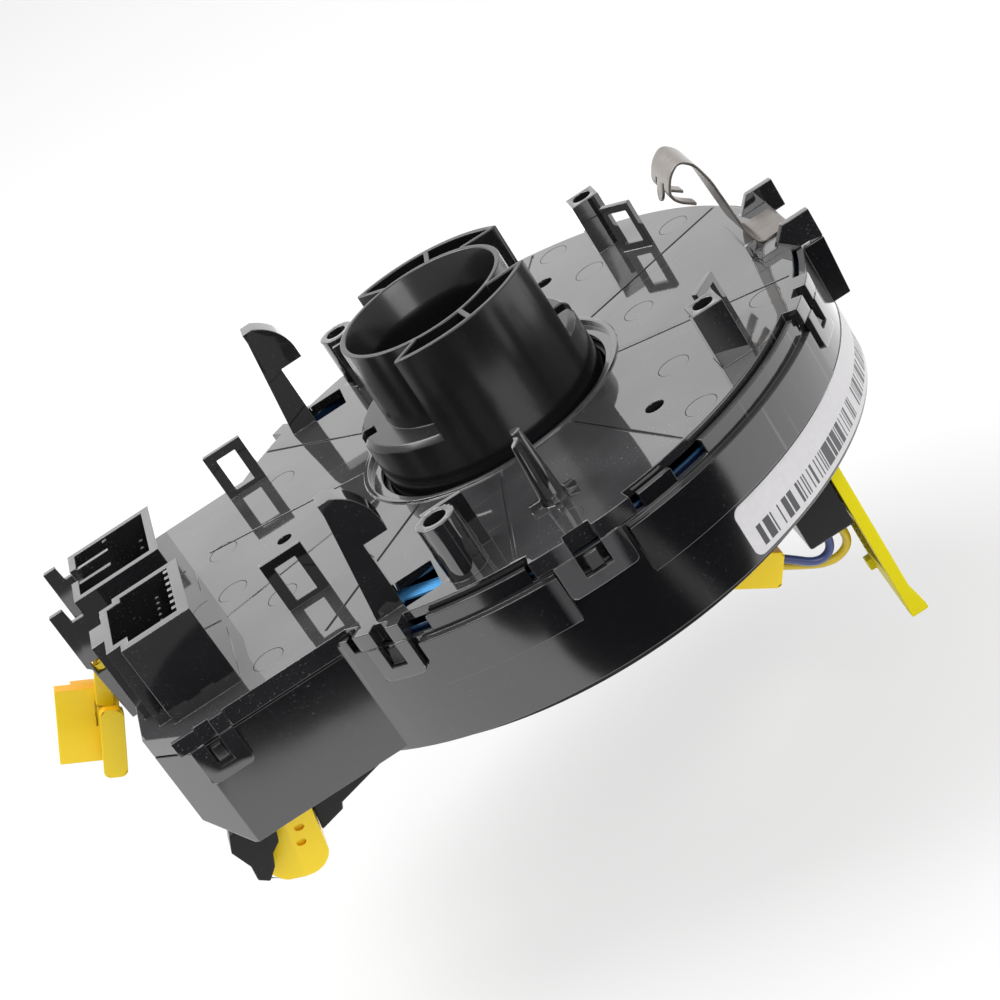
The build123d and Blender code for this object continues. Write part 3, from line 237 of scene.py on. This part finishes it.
def blend_colours(tree, share, first, second):
    """The colour between two, by the share of the second."""
    ends = [value if isinstance(value, bpy.types.NodeSocket) else (*value, 1.0) for value in (first, second)]
    return chain(tree, "ShaderNodeMix", {"data_type": "RGBA"}, i0=share, i6=ends[0], i7=ends[1]).outputs[2]


def moulded(name, colour, roughness, top_painted_shade=None, specular=0.5, coat=0.0, coat_roughness=0.03,
            wave=0.0, grain=0.0, bump=0.1, haze=0.0, sides=0.0, specks=0.0,
            dust_colour=(0.33, 0.33, 0.34), scratches=0.0):
    """A moulded plastic: its colour, a painted shade on faces that look up, the dust on it,
    its skin as a fine relief, and scratches that dull it."""
    material, tree, shader, place = new_finish(name)
    shader.inputs["Specular IOR Level"].default_value = specular
    shader.inputs["Coat Weight"].default_value = coat
    shader.inputs["Coat Roughness"].default_value = coat_roughness
    normal = chain(tree, "ShaderNodeNewGeometry").outputs["Normal"]
    upward = chain(tree, "ShaderNodeSeparateXYZ", i0=normal).outputs[2]
    film = chain(tree, "ShaderNodeGroup", {"node_tree": dust}, Vector=place, Upward=upward,
                 Haze=haze, Sides=sides, Specks=specks)
    lines = chain(tree, "ShaderNodeGroup", {"node_tree": hairlines}, Vector=place, Amount=scratches)
    worn = sums(tree, "MAXIMUM", film.outputs["Specks"], lines.outputs["Mask"])
    # Faces that look up take a painted shade in place of the plastic's own colour
    base = blend_colours(tree, ramp(tree, upward, 0.3, 0.9), colour, top_painted_shade or colour)
    cover = sums(tree, "MAXIMUM", film.outputs["Haze"], worn)
    tree.links.new(blend_colours(tree, cover, base, dust_colour), shader.inputs["Base Color"])
    duller = ramp(tree, worn, 0.0, 1.0, roughness, min(roughness + 0.4, 1.0))
    tree.links.new(duller, shader.inputs["Roughness"])
    if wave or grain:
        surface = chain(tree, "ShaderNodeGroup", {"node_tree": skin}, Vector=place, Wave=wave, Grain=grain)
        relief = chain(tree, "ShaderNodeBump", Strength=1.0, Distance=bump * 0.001,
                       Height=surface.outputs["Height"])
        tree.links.new(relief.outputs[0], shader.inputs["Normal"])
    return material


def lead(name, node, line, colour):
    """A round lead on one smooth spline through its given points."""
    curve = bpy.data.curves.new(name, "CURVE")
    curve.dimensions = "3D"
    spline = curve.splines.new("NURBS")
    spline.points.add(len(line) - 1)
    spline.points.foreach_set("co", np.c_[np.array(line), np.ones(len(line))].ravel())
    spline.order_u = 3
    spline.use_endpoint_u = True
    curve.resolution_u = 16
    curve.bevel_depth = lead_width / 2
    curve.bevel_resolution = 6
    curve.use_fill_caps = True
    piece = bpy.data.objects.new(name, curve)
    scene.collection.objects.link(piece)
    curve.materials.append(moulded(f"{name}_pvc", colour, 0.34, wave=1.0, grain=0.3, bump=0.02,
                                   specks=0.2))
    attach(piece, "rotor")
    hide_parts(node)
    return piece


lead("lead_wire_yellow", "lead_yellow", yellow_line, paint(205, 178, 30))
lead("lead_wire_blue", "lead_blue", blue_line, paint(58, 70, 120))

# A pale paper sweep under the part, low enough for the pulled lock key to clear it. It
# shows white to the camera and keeps the soft shadow.
key_travel = max(joint["range_m"][1] for joint in frame["joints"] if joint["type"] == "slide")
floor_gap = 0.0005
floor_height = cad_box[0][2] - key_travel - floor_gap
floor_reach = 2.4
floor_own_light = 0.62


def studio_sheet(name, corners, gloss_only=False):
    """A flat sheet of the studio through its four corners, and its empty material's nodes.
    A sheet for the gloss alone is seen by polished faces and by nothing else."""
    mesh = bpy.data.meshes.new(name)
    mesh.from_pydata(corners, [], [(0, 1, 2, 3)])
    sheet = bpy.data.objects.new(name, mesh)
    scene.collection.objects.link(sheet)
    if gloss_only:
        sheet.visible_camera = False
        sheet.visible_diffuse = False
        sheet.visible_shadow = False
        sheet.visible_transmission = False
    material = bpy.data.materials.new(name)
    material.use_nodes = True
    material.node_tree.nodes.clear()
    mesh.materials.append(material)
    return material.node_tree


def level_corners(height):
    """The corners of a level square sheet about the steering axis."""
    return [(-floor_reach, -floor_reach, height), (floor_reach, -floor_reach, height),
            (floor_reach, floor_reach, height), (-floor_reach, floor_reach, height)]


tree = studio_sheet("floor", level_corners(floor_height))
matte = chain(tree, "ShaderNodeBsdfDiffuse", Color=(0.80, 0.80, 0.80, 1.0))
glow = chain(tree, "ShaderNodeEmission", Color=(1.0, 1.0, 1.0, 1.0), Strength=1.0)
seen = chain(tree, "ShaderNodeLightPath")
partly = chain(tree, "ShaderNodeMixShader", i0=floor_own_light, i1=matte.outputs[0],
               i2=glow.outputs[0])
to_eye = chain(tree, "ShaderNodeMixShader", i0=seen.outputs["Is Camera Ray"],
               i1=matte.outputs[0], i2=partly.outputs[0])
chain(tree, "ShaderNodeOutputMaterial", Surface=to_eye.outputs[0])

# Black velvet lies round in front of the part and beyond, on white card. Only polished
# faces see it, as the dark band that the drum's wall mirrors, with a faint pale streak.
velvet_height = cad_box[0][2] - floor_gap
velvet_rounds = (((0.042, -0.212), 0.112), ((-0.060, -0.186), 0.043))
velvet_front = -0.180
velvet_far_glow = 0.13
velvet_edge = 0.003
velvet_wobble = 0.022
streak_place = 0.044
streak_width = 0.012
streak_strength = 0.25
paper_strength = 1.6
tree = studio_sheet("velvet", level_corners(velvet_height), gloss_only=True)
spot = chain(tree, "ShaderNodeTexCoord").outputs["Object"]
axes = chain(tree, "ShaderNodeSeparateXYZ", i0=spot)
wobble = chain(tree, "ShaderNodeTexNoise", i0=spot, Scale=14.0, Detail=2.0).outputs[0]
wobbling = sums(tree, "MULTIPLY", sums(tree, "SUBTRACT", wobble, 0.5), velvet_wobble)
paper_share = 1.0
for (centre_x, centre_y), radius in velvet_rounds:
    across = sums(tree, "SUBTRACT", axes.outputs[0], centre_x)
    along = sums(tree, "SUBTRACT", axes.outputs[1], centre_y)
    distance = sums(tree, "SQRT", sums(tree, "MULTIPLY_ADD", across, across,
                                       sums(tree, "MULTIPLY", along, along)))
    wavy_distance = sums(tree, "ADD", distance, wobbling)
    outside = ramp(tree, wavy_distance, radius - velvet_edge, radius + velvet_edge, smooth=True)
    paper_share = sums(tree, "MINIMUM", paper_share, outside)
near_paper = ramp(tree, axes.outputs[1], velvet_front - velvet_edge, velvet_front + velvet_edge,
                  smooth=True)
paper_share = sums(tree, "MINIMUM", paper_share, sums(tree, "MAXIMUM", near_paper, velvet_far_glow))
off_streak = sums(tree, "ABSOLUTE", sums(tree, "SUBTRACT", axes.outputs[0], streak_place))
streak_share = ramp(tree, off_streak, 0.0, streak_width, streak_strength, 0.0, smooth=True)
brighter = sums(tree, "MAXIMUM", paper_share, streak_share)
sheen_strength = sums(tree, "MULTIPLY", brighter, paper_strength)
mirrored = chain(tree, "ShaderNodeEmission", Color=(1.0, 1.0, 1.0, 1.0), Strength=sheen_strength)
chain(tree, "ShaderNodeOutputMaterial", Surface=mirrored.outputs[0])

# Plain soft light: an even pale surround, one broad lamp high on the left and behind,
# and one weaker lamp in front, so that a colour shows about as it is written.
surround_strength = 0.62
surround = bpy.data.worlds.new("surround")
scene.world = surround
surround.use_nodes = True
sky = surround.node_tree.nodes["Background"]
sky.inputs["Color"].default_value = (1.0, 1.0, 1.0, 1.0)
sky.inputs["Strength"].default_value = surround_strength
for name, place, width, power in (
    ("broad_lamp", (-0.35, 0.25, 0.85), 0.7, 9.0),
    ("front_lamp", (0.30, -0.75, 0.45), 0.5, 3.0),
):
    lamp = bpy.data.lights.new(name, "AREA")
    lamp.shape = "SQUARE"
    lamp.size = width
    lamp.energy = power
    holder = bpy.data.objects.new(name, lamp)
    holder.location = place
    holder.rotation_mode = "QUATERNION"
    holder.rotation_quaternion = (Vector(place) - aim).to_track_quat("Z", "Y")
    scene.collection.objects.link(holder)

# A tall white card stands behind the drum. Only polished faces see it: it is the even
# pale sheet that the cover plate mirrors towards the camera.
card_distance, card_half, card_low, card_high = 0.9, 0.75, -0.05, 0.85
card_strength = 1.12
card_corners = [(-card_half, card_distance, card_low), (card_half, card_distance, card_low),
                (card_half, card_distance, card_high), (-card_half, card_distance, card_high)]
tree = studio_sheet("white_card", card_corners, gloss_only=True)
bright = chain(tree, "ShaderNodeEmission", Color=(1.0, 1.0, 1.0, 1.0), Strength=card_strength)
chain(tree, "ShaderNodeOutputMaterial", Surface=bright.outputs[0])

# The cover plate is one moulding in polished black plastic: a thin round plate with a
# side lobe, and on it screw posts, latch hooks, loops and two open sockets.
merge_reach = 0.000004
sharp_edge = math.radians(32.0)


def eased_copy(name, node, body, material, width, steps=2):
    """The solid of a CAD node, merged and with its sharp edges eased by a small bevel. A
    width of 0 leaves its edges sharp and its faces flat."""
    mesh = frame["nodes"][node].data.copy()
    mesh.name = name
    mesh.materials.clear()
    work = bmesh.new()
    work.from_mesh(mesh)
    bmesh.ops.remove_doubles(work, verts=work.verts, dist=merge_reach)
    bmesh.ops.dissolve_degenerate(work, edges=work.edges, dist=merge_reach)
    bmesh.ops.recalc_face_normals(work, faces=work.faces)
    work.to_mesh(mesh)
    work.free()
    mesh.shade_smooth()
    piece = bpy.data.objects.new(name, mesh)
    scene.collection.objects.link(piece)
    if width:
        easing = piece.modifiers.new("eased_edges", "BEVEL")
        easing.width = width
        easing.segments = steps
        easing.limit_method = "ANGLE"
        easing.angle_limit = sharp_edge
        easing.use_clamp_overlap = False
        easing.miter_outer = "MITER_SHARP"
        levelling = piece.modifiers.new("level_faces", "WEIGHTED_NORMAL")
        levelling.mode = "FACE_AREA"
        levelling.weight = 50
    else:
        mesh.shade_flat()
    mesh.materials.append(material)
    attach(piece, body)
    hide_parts(node)
    return piece


plate_black = moulded("plate_black", (0.006, 0.006, 0.007), 0.05, specular=0.6, coat=1.0,
                      wave=0.6, grain=0.02, bump=0.02, haze=0.12, sides=0.22, specks=0.9,
                      scratches=0.2)
eased_copy("plate_moulding", "cover_plate", "stator", plate_black, 0.00013)

# The mould's ejector pins left a shallow round mark wherever they pushed the plate out:
# a ring that stands just proud of the skin and fades out towards the sockets' side.


def slab(name, outer, inner, keep=None):
    """A closed shell between two point grids of one shape, and the place of each of its
    points in the two grids. Each kept cell gives a face on both grids, and each side of it
    that has no kept neighbour gives a rim face."""
    rows, columns = outer.shape[:2]
    keep = np.ones((rows - 1, columns - 1), bool) if keep is None else keep
    count = rows * columns
    index = np.arange(count).reshape(rows, columns)
    near, far = index[:-1, :-1], index[1:, :-1]
    far_next, near_next = index[1:, 1:], index[:-1, 1:]
    faces = [np.stack([near, far, far_next, near_next], -1)[keep],
             np.stack([near, near_next, far_next, far], -1)[keep] + count]
    around = np.pad(keep, 1)
    for first, second, neighbour in (
        (near, far, around[1:-1, :-2]), (far, far_next, around[2:, 1:-1]),
        (far_next, near_next, around[1:-1, 2:]), (near_next, near, around[:-2, 1:-1]),
    ):
        rim = keep & ~neighbour
        faces.append(np.stack([second[rim], first[rim], first[rim] + count, second[rim] + count], -1))
    used, faces = np.unique(np.concatenate(faces), return_inverse=True)
    points = np.concatenate([outer.reshape(-1, 3), inner.reshape(-1, 3)])[used]
    mesh = bpy.data.meshes.new(name)
    mesh.from_pydata(points.tolist(), [], faces.reshape(-1, 4).tolist())
    work = bmesh.new()
    work.from_mesh(mesh)
    bmesh.ops.recalc_face_normals(work, faces=work.faces)
    work.to_mesh(mesh)
    work.free()
    piece = bpy.data.objects.new(name, mesh)
    scene.collection.objects.link(piece)
    return piece, used


ejector_places = np.array([
    (-51.4, 11.5), (-51.8, -5.7), (-49.5, -36.7), (-37.6, 24.7), (-44.0, -18.4), (24.7, 45.6),
    (27.7, 28.5), (29.6, 0.4), (28.0, -26.7), (27.2, -45.0), (44.1, 25.0), (46.1, -23.6), (1.1, -53.1),
]) / 1000
ejector_radius = 0.0027
ejector_ridge = 0.00010
ejector_height = 0.00005
ejector_root = -0.00005
edge_sink = 0.00001
around_ring = np.radians(np.linspace(-60, 250, 63))
# Along the ring the ridge swells as half a wave, cut off at its full height
fading = np.clip(1.6 * np.sin((around_ring - around_ring[0]) * np.pi / np.ptp(around_ring)), 0, 1)
mark_black = moulded("mark_black", (0.006, 0.006, 0.007), 0.4, specular=0.3, haze=0.05)
ring_sides = np.array([-1.0, 0.0, 1.0])
rise = np.array([-edge_sink, ejector_height, -edge_sink])
radii = ejector_radius + ring_sides[None, :] * ejector_ridge * np.maximum(fading, 0.3)[:, None]
tops = fading[:, None] * rise[None, :]
for number, (x, y) in enumerate(ejector_places):
    ring_x = x + radii * np.cos(around_ring)[:, None]
    ring_y = y + radii * np.sin(around_ring)[:, None]
    outer = np.stack([ring_x, ring_y, tops], -1)
    inner = np.stack([ring_x, ring_y, np.full_like(tops, ejector_root)], -1)
    ring, _ = slab(f"ejector_mark_{number + 1}", outer, inner)
    ring.data.materials.append(mark_black)
    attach(ring, "stator")

# The case is the drum below the plate, with the side lobe: one deep moulding in the same
# black plastic with a duller skin. The plate's loops snap over the wedges on its wall.
case_black = moulded("case_black", (0.006, 0.006, 0.007), 0.13, specular=0.8, coat=0.4,
                     coat_roughness=0.08, wave=1.0, grain=0.05, bump=0.04, haze=0.10, specks=0.35,
                     scratches=0.15)
eased_copy("case_moulding", "outer_case", "stator", case_black, 0.00014)

# The hub sleeve turns in the plate's hole and drives the flat cable. Its skin is
# fine-grained, so it shows only soft gleams.
hub_black = moulded("hub_black", (0.007, 0.007, 0.008), 0.24, specular=0.55, coat=0.15,
                    coat_roughness=0.12, wave=0.6, grain=0.10, bump=0.03, haze=0.04, specks=0.15)
eased_copy("hub_moulding", "hub_sleeve", "rotor", hub_black, 0.00020)

# The rotor disc under the drum turns with the wheel. It carries the lead block, the plug
# arm and the connectors, all in a plain black plastic.
rotor_black = moulded("rotor_black", (0.009, 0.009, 0.010), 0.34, specular=0.2, wave=0.6,
                      grain=0.1, bump=0.03, haze=0.08, specks=0.3)
eased_copy("rotor_moulding", "rotor_disc", "rotor", rotor_black, 0.00020)
for name, node, body, width in (
    ("lead_block_moulding", "lead_block", "rotor", 0.0003),
    ("arm_moulding", "lead_arm", "rotor", 0.0003),
    ("clamp_moulding", "plug_clamp", "rotor", 0.00025),
    ("terminal_moulding", "terminal_block", "stator", 0.0002),
    ("rotor_terminal_moulding", "rotor_terminal", "rotor", 0.0002),
):
    eased_copy(name, node, body, rotor_black, width)

# The flat cable is a blue film with copper tracks, wound on edge in the drum. Its colour
# is painted light and shade: a painted highlight along the cut top edge of the middle
# turns, a faint one on the outer turns, and painted deep shade on the film below it.
cable_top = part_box("flat_cable")[1].z
cable_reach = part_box("flat_cable")[1].x
lit_turns = (0.0438, 0.0478)
lit_depth = 0.0004
outer_glint = 0.12
# cable_shaded is painted shade and cable_lit is a painted highlight, not two tones of the film
cable_shaded = paint(8, 20, 46)
cable_lit = paint(96, 178, 245)
cable_film_painted_light, tree, shader, place = new_finish("cable_film_painted_light")
axes = chain(tree, "ShaderNodeSeparateXYZ", i0=place)
radius = sums(tree, "SQRT", sums(tree, "MULTIPLY_ADD", axes.outputs[0], axes.outputs[0],
                                 sums(tree, "MULTIPLY", axes.outputs[1], axes.outputs[1])))
# Painted highlight: the tops of the middle turns, and faintly those of the outer turns, take the lit blue;
# all else keeps the painted shade
on_top = ramp(tree, axes.outputs[2], cable_top - lit_depth, cable_top - lit_depth * 0.75)
middle_turns = sums(tree, "MULTIPLY", sums(tree, "GREATER_THAN", radius, lit_turns[0]),
                    sums(tree, "LESS_THAN", radius, lit_turns[1]))
outer_turns = ramp(tree, radius, cable_reach - 0.002, cable_reach - 0.001, 0.0, outer_glint)
painted_lit_edge = sums(tree, "MULTIPLY", sums(tree, "MAXIMUM", middle_turns, outer_turns), on_top)
tree.links.new(blend_colours(tree, painted_lit_edge, cable_shaded, cable_lit), shader.inputs["Base Color"])
mottle = chain(tree, "ShaderNodeTexNoise", i0=place, Scale=400.0, Detail=2.0).outputs[0]
tree.links.new(ramp(tree, mottle, 0.3, 0.7, 0.22, 0.38), shader.inputs["Roughness"])
frame["nodes"]["flat_cable"].material_slots[0].material = cable_film_painted_light

# Under the front window a few loose turns of the cable lie side by side half way across
# the drum, and the painted highlight on their tops shows as one bright strip. Behind the
# back window two more lean against the wall, a little higher, and close the view through the wall's notch.


def on_drum(radius, angle, height):
    """Points on a round wall about the steering axis: radius times the cosine and the sine
    of the angle, and the height."""
    return np.stack([radius * np.cos(angle), radius * np.sin(angle), height], -1)


turn_pitch = 0.00068
turn_gauge = 0.00060
turn_wander = 0.0001
turn_steps = 65
cable_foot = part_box("flat_cable")[0].z
for name, count, first_radius, span, top in (
    ("cable_turn", 5, 0.0443, (-160, -80), cable_top),
    ("cable_back_turn", 2, 0.0551, (92, 142), -0.00175),
):
    turn_arc = np.radians(np.linspace(*span, turn_steps))
    for number in range(count):
        middle = first_radius + number * turn_pitch + turn_wander * np.sin(3.0 * turn_arc + number)
        arc, height = np.meshgrid(turn_arc, np.array([cable_foot, top]), indexing="ij")
        turn, _ = slab(f"{name}_{number + 1}", on_drum(middle[:, None] + turn_gauge / 2, arc, height),
                       on_drum(middle[:, None] - turn_gauge / 2, arc, height))
        turn.data.materials.append(cable_film_painted_light)
        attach(turn, "stator")

# The glide sheet is a thin dark grey slip film, punched as a ring, that lies loose on the
# drum's floor. The cable's lower edge slides on it.
glide_film = moulded("glide_film", paint(52, 54, 60), 0.3, wave=1.0, bump=0.03, specks=0.2)
frame["nodes"]["glide_sheet"].material_slots[0].material = glide_film

# The contact pins are square wires of tinned brass, drawn lengthwise and pressed through
# the floors of the three sockets.
pin_metal, tree, shader, place = new_finish("pin_metal")
shader.inputs["Metallic"].default_value = 1.0
drawn = chain(tree, "ShaderNodeMapping", i0=place, Scale=(6000.0, 6000.0, 300.0)).outputs[0]
lines = chain(tree, "ShaderNodeTexNoise", i0=drawn, Scale=1.0, Detail=2.0).outputs[0]
tint = blend_colours(tree, lines, paint(150, 146, 138), paint(214, 210, 200))
tree.links.new(tint, shader.inputs["Base Color"])
tree.links.new(ramp(tree, lines, 0.3, 0.7, 0.25, 0.45), shader.inputs["Roughness"])
for node in ("front_socket_pins", "back_socket_pins", "wheel_socket_pins"):
    frame["nodes"][node].material_slots[0].material = pin_metal

# The leaf clip is one strip of satin spring steel, bent from a flat seat in the bracket
# up into a curl. Its end is slit into three fingers: the two outer ones curl back under
# and the middle one hangs straight, with a rounded tip.
clip_width = (-0.0071, 0.0039)
clip_slots = ((-0.0042, -0.0034), (0.0002, 0.0010))
clip_gauge = 0.00045
clip_corner = 0.0010
clip_line = [(57.4, 1.275), (51.9, 1.275), (50.75, 4.2), (49.9, 15.2), (48.9, 19.0), (46.9, 20.9),
             (44.7, 19.6), (43.62, 17.9)]
outer_finger = [(42.95, 16.7), (43.7, 15.0), (46.1, 13.1)]
middle_finger = [(42.9, 16.6), (42.3, 15.5), (41.95, 14.9)]
clip_bend = 2.2
clip_edge = 0.00008
strip_steps = 90
finger_steps = 30
clip_steps = strip_steps + finger_steps


def bent_line(points, spread, shared):
    """Points along a polyline whose corners are rounded by averaging over the given length:
    each point is the mean of the line's points within half that length on either side."""
    corners = np.array(points)
    lengths = np.r_[0.0, np.cumsum(np.linalg.norm(np.diff(corners, axis=0), axis=1))]
    places = np.r_[np.linspace(0.0, shared, strip_steps),
                   np.linspace(shared, lengths[-1], finger_steps + 1)[1:]]
    reach = np.minimum(spread / 2, np.minimum(places, lengths[-1] - places))
    windows = places[:, None] + reach[:, None] * np.linspace(-1, 1, 15)[None, :]
    return np.stack([np.interp(windows, lengths, corners[:, axis]).mean(1) for axis in (0, 1)], -1)


shared_length = np.linalg.norm(np.diff(np.array(clip_line), axis=0), axis=1).sum()
paths = {
    "outer": bent_line(clip_line + outer_finger, clip_bend, shared_length) / 1000,
    "middle": bent_line(clip_line + middle_finger, clip_bend, shared_length) / 1000,
}
columns = [clip_width[0], *clip_slots[0], *clip_slots[1], clip_width[1]]
column_path = ["outer", "outer", "middle", "middle", "outer", "outer"]
tip_half = (clip_slots[1][0] - clip_slots[0][1]) / 2
sheet = np.zeros((clip_steps, len(columns), 3))
turned_out = np.zeros_like(sheet)
# Each column follows its path. At a rounded end it is drawn in by the radius less the root
# of the radius squared minus the square of how far it is into the corner
for number, (column, kind) in enumerate(zip(columns, column_path)):
    path = paths[kind]
    heading = np.gradient(path, axis=0)
    heading /= np.linalg.norm(heading, axis=1)[:, None]
    run = np.r_[0.0, np.cumsum(np.linalg.norm(np.diff(path, axis=0), axis=1))]
    from_seat = np.clip(clip_corner - run, 0, clip_corner)
    seat_round = clip_corner - np.sqrt(np.maximum(clip_corner ** 2 - from_seat ** 2, 0))
    from_tip = np.clip(tip_half - (run[-1] - run), 0, tip_half)
    tip_round = tip_half - np.sqrt(np.maximum(tip_half ** 2 - from_tip ** 2, 0))
    inward = 1.0 if column < 0.5 * (clip_width[0] + clip_width[1]) else -1.0
    narrowed = seat_round * (number in (0, 5)) + np.minimum(tip_round, tip_half * 0.96) * (kind == "middle")
    sheet[:, number] = np.stack([path[:, 0], column + inward * narrowed, path[:, 1]], -1)
    turned_out[:, number] = np.stack([-heading[:, 1], np.zeros(clip_steps), heading[:, 0]], -1)
kept_cells = np.ones((clip_steps - 1, len(columns) - 1), bool)
kept_cells[strip_steps - 1:, 1] = False
kept_cells[strip_steps - 1:, 3] = False
clip, _ = slab("leaf_clip_strip", sheet + turned_out * clip_gauge / 2,
               sheet - turned_out * clip_gauge / 2, kept_cells)
clip.data.shade_smooth()
clip_edges = clip.modifiers.new("eased_edges", "BEVEL")
clip_edges.width = clip_edge
clip_edges.segments = 2
clip_edges.limit_method = "ANGLE"
clip_edges.angle_limit = math.radians(40)
clip_edges.use_clamp_overlap = False
clip_level = clip.modifiers.new("level_faces", "WEIGHTED_NORMAL")
clip_level.mode = "FACE_AREA"
clip_steel, tree, shader, place = new_finish("clip_steel")
shader.inputs["Metallic"].default_value = 1.0
rolled = chain(tree, "ShaderNodeMapping", i0=place, Scale=(400.0, 6500.0, 400.0)).outputs[0]
streaks = chain(tree, "ShaderNodeTexNoise", i0=rolled, Scale=1.0, Detail=3.0, Roughness=0.6).outputs[0]
stains = chain(tree, "ShaderNodeTexNoise", i0=place, Scale=260.0, Detail=3.0).outputs[0]
stained = sums(tree, "MULTIPLY", stains, 0.5)
blotched = sums(tree, "MULTIPLY_ADD", ramp(tree, streaks, 0.3, 0.7), 0.6, stained)
tint = blend_colours(tree, blotched, paint(112, 107, 103), paint(170, 164, 158))
tree.links.new(tint, shader.inputs["Base Color"])
tree.links.new(ramp(tree, blotched, 0.2, 0.9, 0.30, 0.42), shader.inputs["Roughness"])
clip.data.materials.append(clip_steel)
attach(clip, "stator")
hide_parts("leaf_clip")

# The label is a paper sticker with round corners, pressed round the drum's wall. It is
# white and bears only a plain row of dark bars of uneven widths along its lower half.
label_points = np.zeros(len(frame["nodes"]["label"].data.vertices) * 3)
frame["nodes"]["label"].data.vertices.foreach_get("co", label_points)
label_points = label_points.reshape(-1, 3)
label_reach = np.hypot(label_points[:, 0], label_points[:, 1])
label_out, label_in = float(label_reach.max()), float(label_reach.min())
label_turn = np.arctan2(label_points[:, 1], label_points[:, 0])
label_from, label_to = float(label_turn.min()), float(label_turn.max())
label_low, label_high = float(label_points[:, 2].min()), float(label_points[:, 2].max())
label_corner = 0.0016
label_length = (label_to - label_from) * label_out
label_tall = label_high - label_low
along_label = label_length * (0.5 - 0.5 * np.cos(np.linspace(0, np.pi, 161)))
# The sticker's half height falls off at its round corners as a circle does: the root of
# the corner's radius squared minus the square of how far a point is into the corner
from_end = np.minimum(along_label, label_length - along_label)
into_corner = np.clip(label_corner - from_end, 0, label_corner)
half_tall = label_tall / 2 - label_corner + np.sqrt(label_corner ** 2 - into_corner ** 2)
up_label = np.linspace(-1, 1, 13)
label_z = (label_low + label_high) / 2 + half_tall[:, None] * up_label[None, :]
label_angle = np.broadcast_to((label_from + along_label / label_out)[:, None], label_z.shape)
label_sticker, grid_place = slab("label_sticker", on_drum(label_out, label_angle, label_z),
                                 on_drum(label_in, label_angle, label_z))
spread = np.stack([np.broadcast_to(along_label[:, None], label_z.shape), label_z - label_low], -1) * 1000
spread = np.concatenate([spread.reshape(-1, 2)] * 2)[grid_place]
corners = np.zeros(len(label_sticker.data.loops), np.int32)
label_sticker.data.loops.foreach_get("vertex_index", corners)
print_layer = label_sticker.data.uv_layers.new(name="print")
print_layer.data.foreach_set("uv", spread[corners].ravel())
bar_pitch = 0.29
bar_span = (2.2, 57.0)
bar_heights = (0.9, 4.5)
bar_chance = 0.42
ink_cover = 0.93
label_paper, tree, shader, place = new_finish("label_paper")
shader.inputs["Coat Weight"].default_value = 0.15
shader.inputs["Coat Roughness"].default_value = 0.25
flat = chain(tree, "ShaderNodeUVMap", {"uv_map": "print"}).outputs[0]
flat = chain(tree, "ShaderNodeSeparateXYZ", i0=flat)
column = sums(tree, "FLOOR", sums(tree, "DIVIDE", flat.outputs[0], bar_pitch))
chance = chain(tree, "ShaderNodeTexWhiteNoise", {"noise_dimensions": "1D"}, W=column).outputs["Value"]
bars = sums(tree, "GREATER_THAN", chance, bar_chance)
for value, (low, high) in ((flat.outputs[0], bar_span), (flat.outputs[1], bar_heights)):
    bars = sums(tree, "MULTIPLY", bars, sums(tree, "GREATER_THAN", value, low))
    bars = sums(tree, "MULTIPLY", bars, sums(tree, "LESS_THAN", value, high))
fibre = chain(tree, "ShaderNodeTexNoise", i0=place, Scale=900.0, Detail=3.0).outputs[0]
white = blend_colours(tree, fibre, paint(192, 190, 193), paint(208, 206, 208))
inked = blend_colours(tree, sums(tree, "MULTIPLY", bars, ink_cover), white, paint(28, 26, 34))
tree.links.new(inked, shader.inputs["Base Color"])
tree.links.new(ramp(tree, fibre, 0.3, 0.7, 0.42, 0.55), shader.inputs["Roughness"])
label_sticker.data.materials.append(label_paper)
label_sticker.data.shade_flat()
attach(label_sticker, "stator")
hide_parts("label")

# The three yellow connectors: the plug on the column side and the two airbag plugs on
# the wheel side, all moulded in one yellow plastic, with a deeper painted shade on faces that look up.
plug_yellow = moulded("plug_yellow", paint(240, 206, 4), 0.36, top_painted_shade=paint(240, 172, 2),
                      specular=0.4, wave=0.5, grain=0.4, bump=0.02, specks=0.05,
                      dust_colour=paint(140, 105, 40))
for name, node, body, width in (
    ("column_plug_moulding", "column_plug", "stator", 0.00015),
    ("right_plug_moulding", "airbag_plug_right", "rotor", 0.00025),
    ("left_plug_moulding", "airbag_plug_left", "rotor", 0.0),
):
    eased_copy(name, node, body, plug_yellow, width, steps=3)

# The lock key holds the rotor at its middle until the part is fitted, and is pulled out
# by hand. It is a flat yellow blade with a ribbed back.
key_yellow = moulded("key_yellow", paint(224, 210, 8), 0.5, specular=0.1, wave=0.5, grain=0.3,
                     bump=0.02, specks=0.05, dust_colour=paint(140, 120, 40))
eased_copy("key_moulding", "lock_key", "lock_key", key_yellow, 0.00025)

# The small green slide is moulded in one piece. It is pushed across the clamp by hand,
# once the left plug is in, and locks it there.
lock_green = moulded("lock_green", paint(30, 170, 60), 0.35, wave=0.5, grain=0.3, bump=0.02,
                     specks=0.1)
eased_copy("lock_moulding", "plug_lock", "rotor", lock_green, 0.0003)
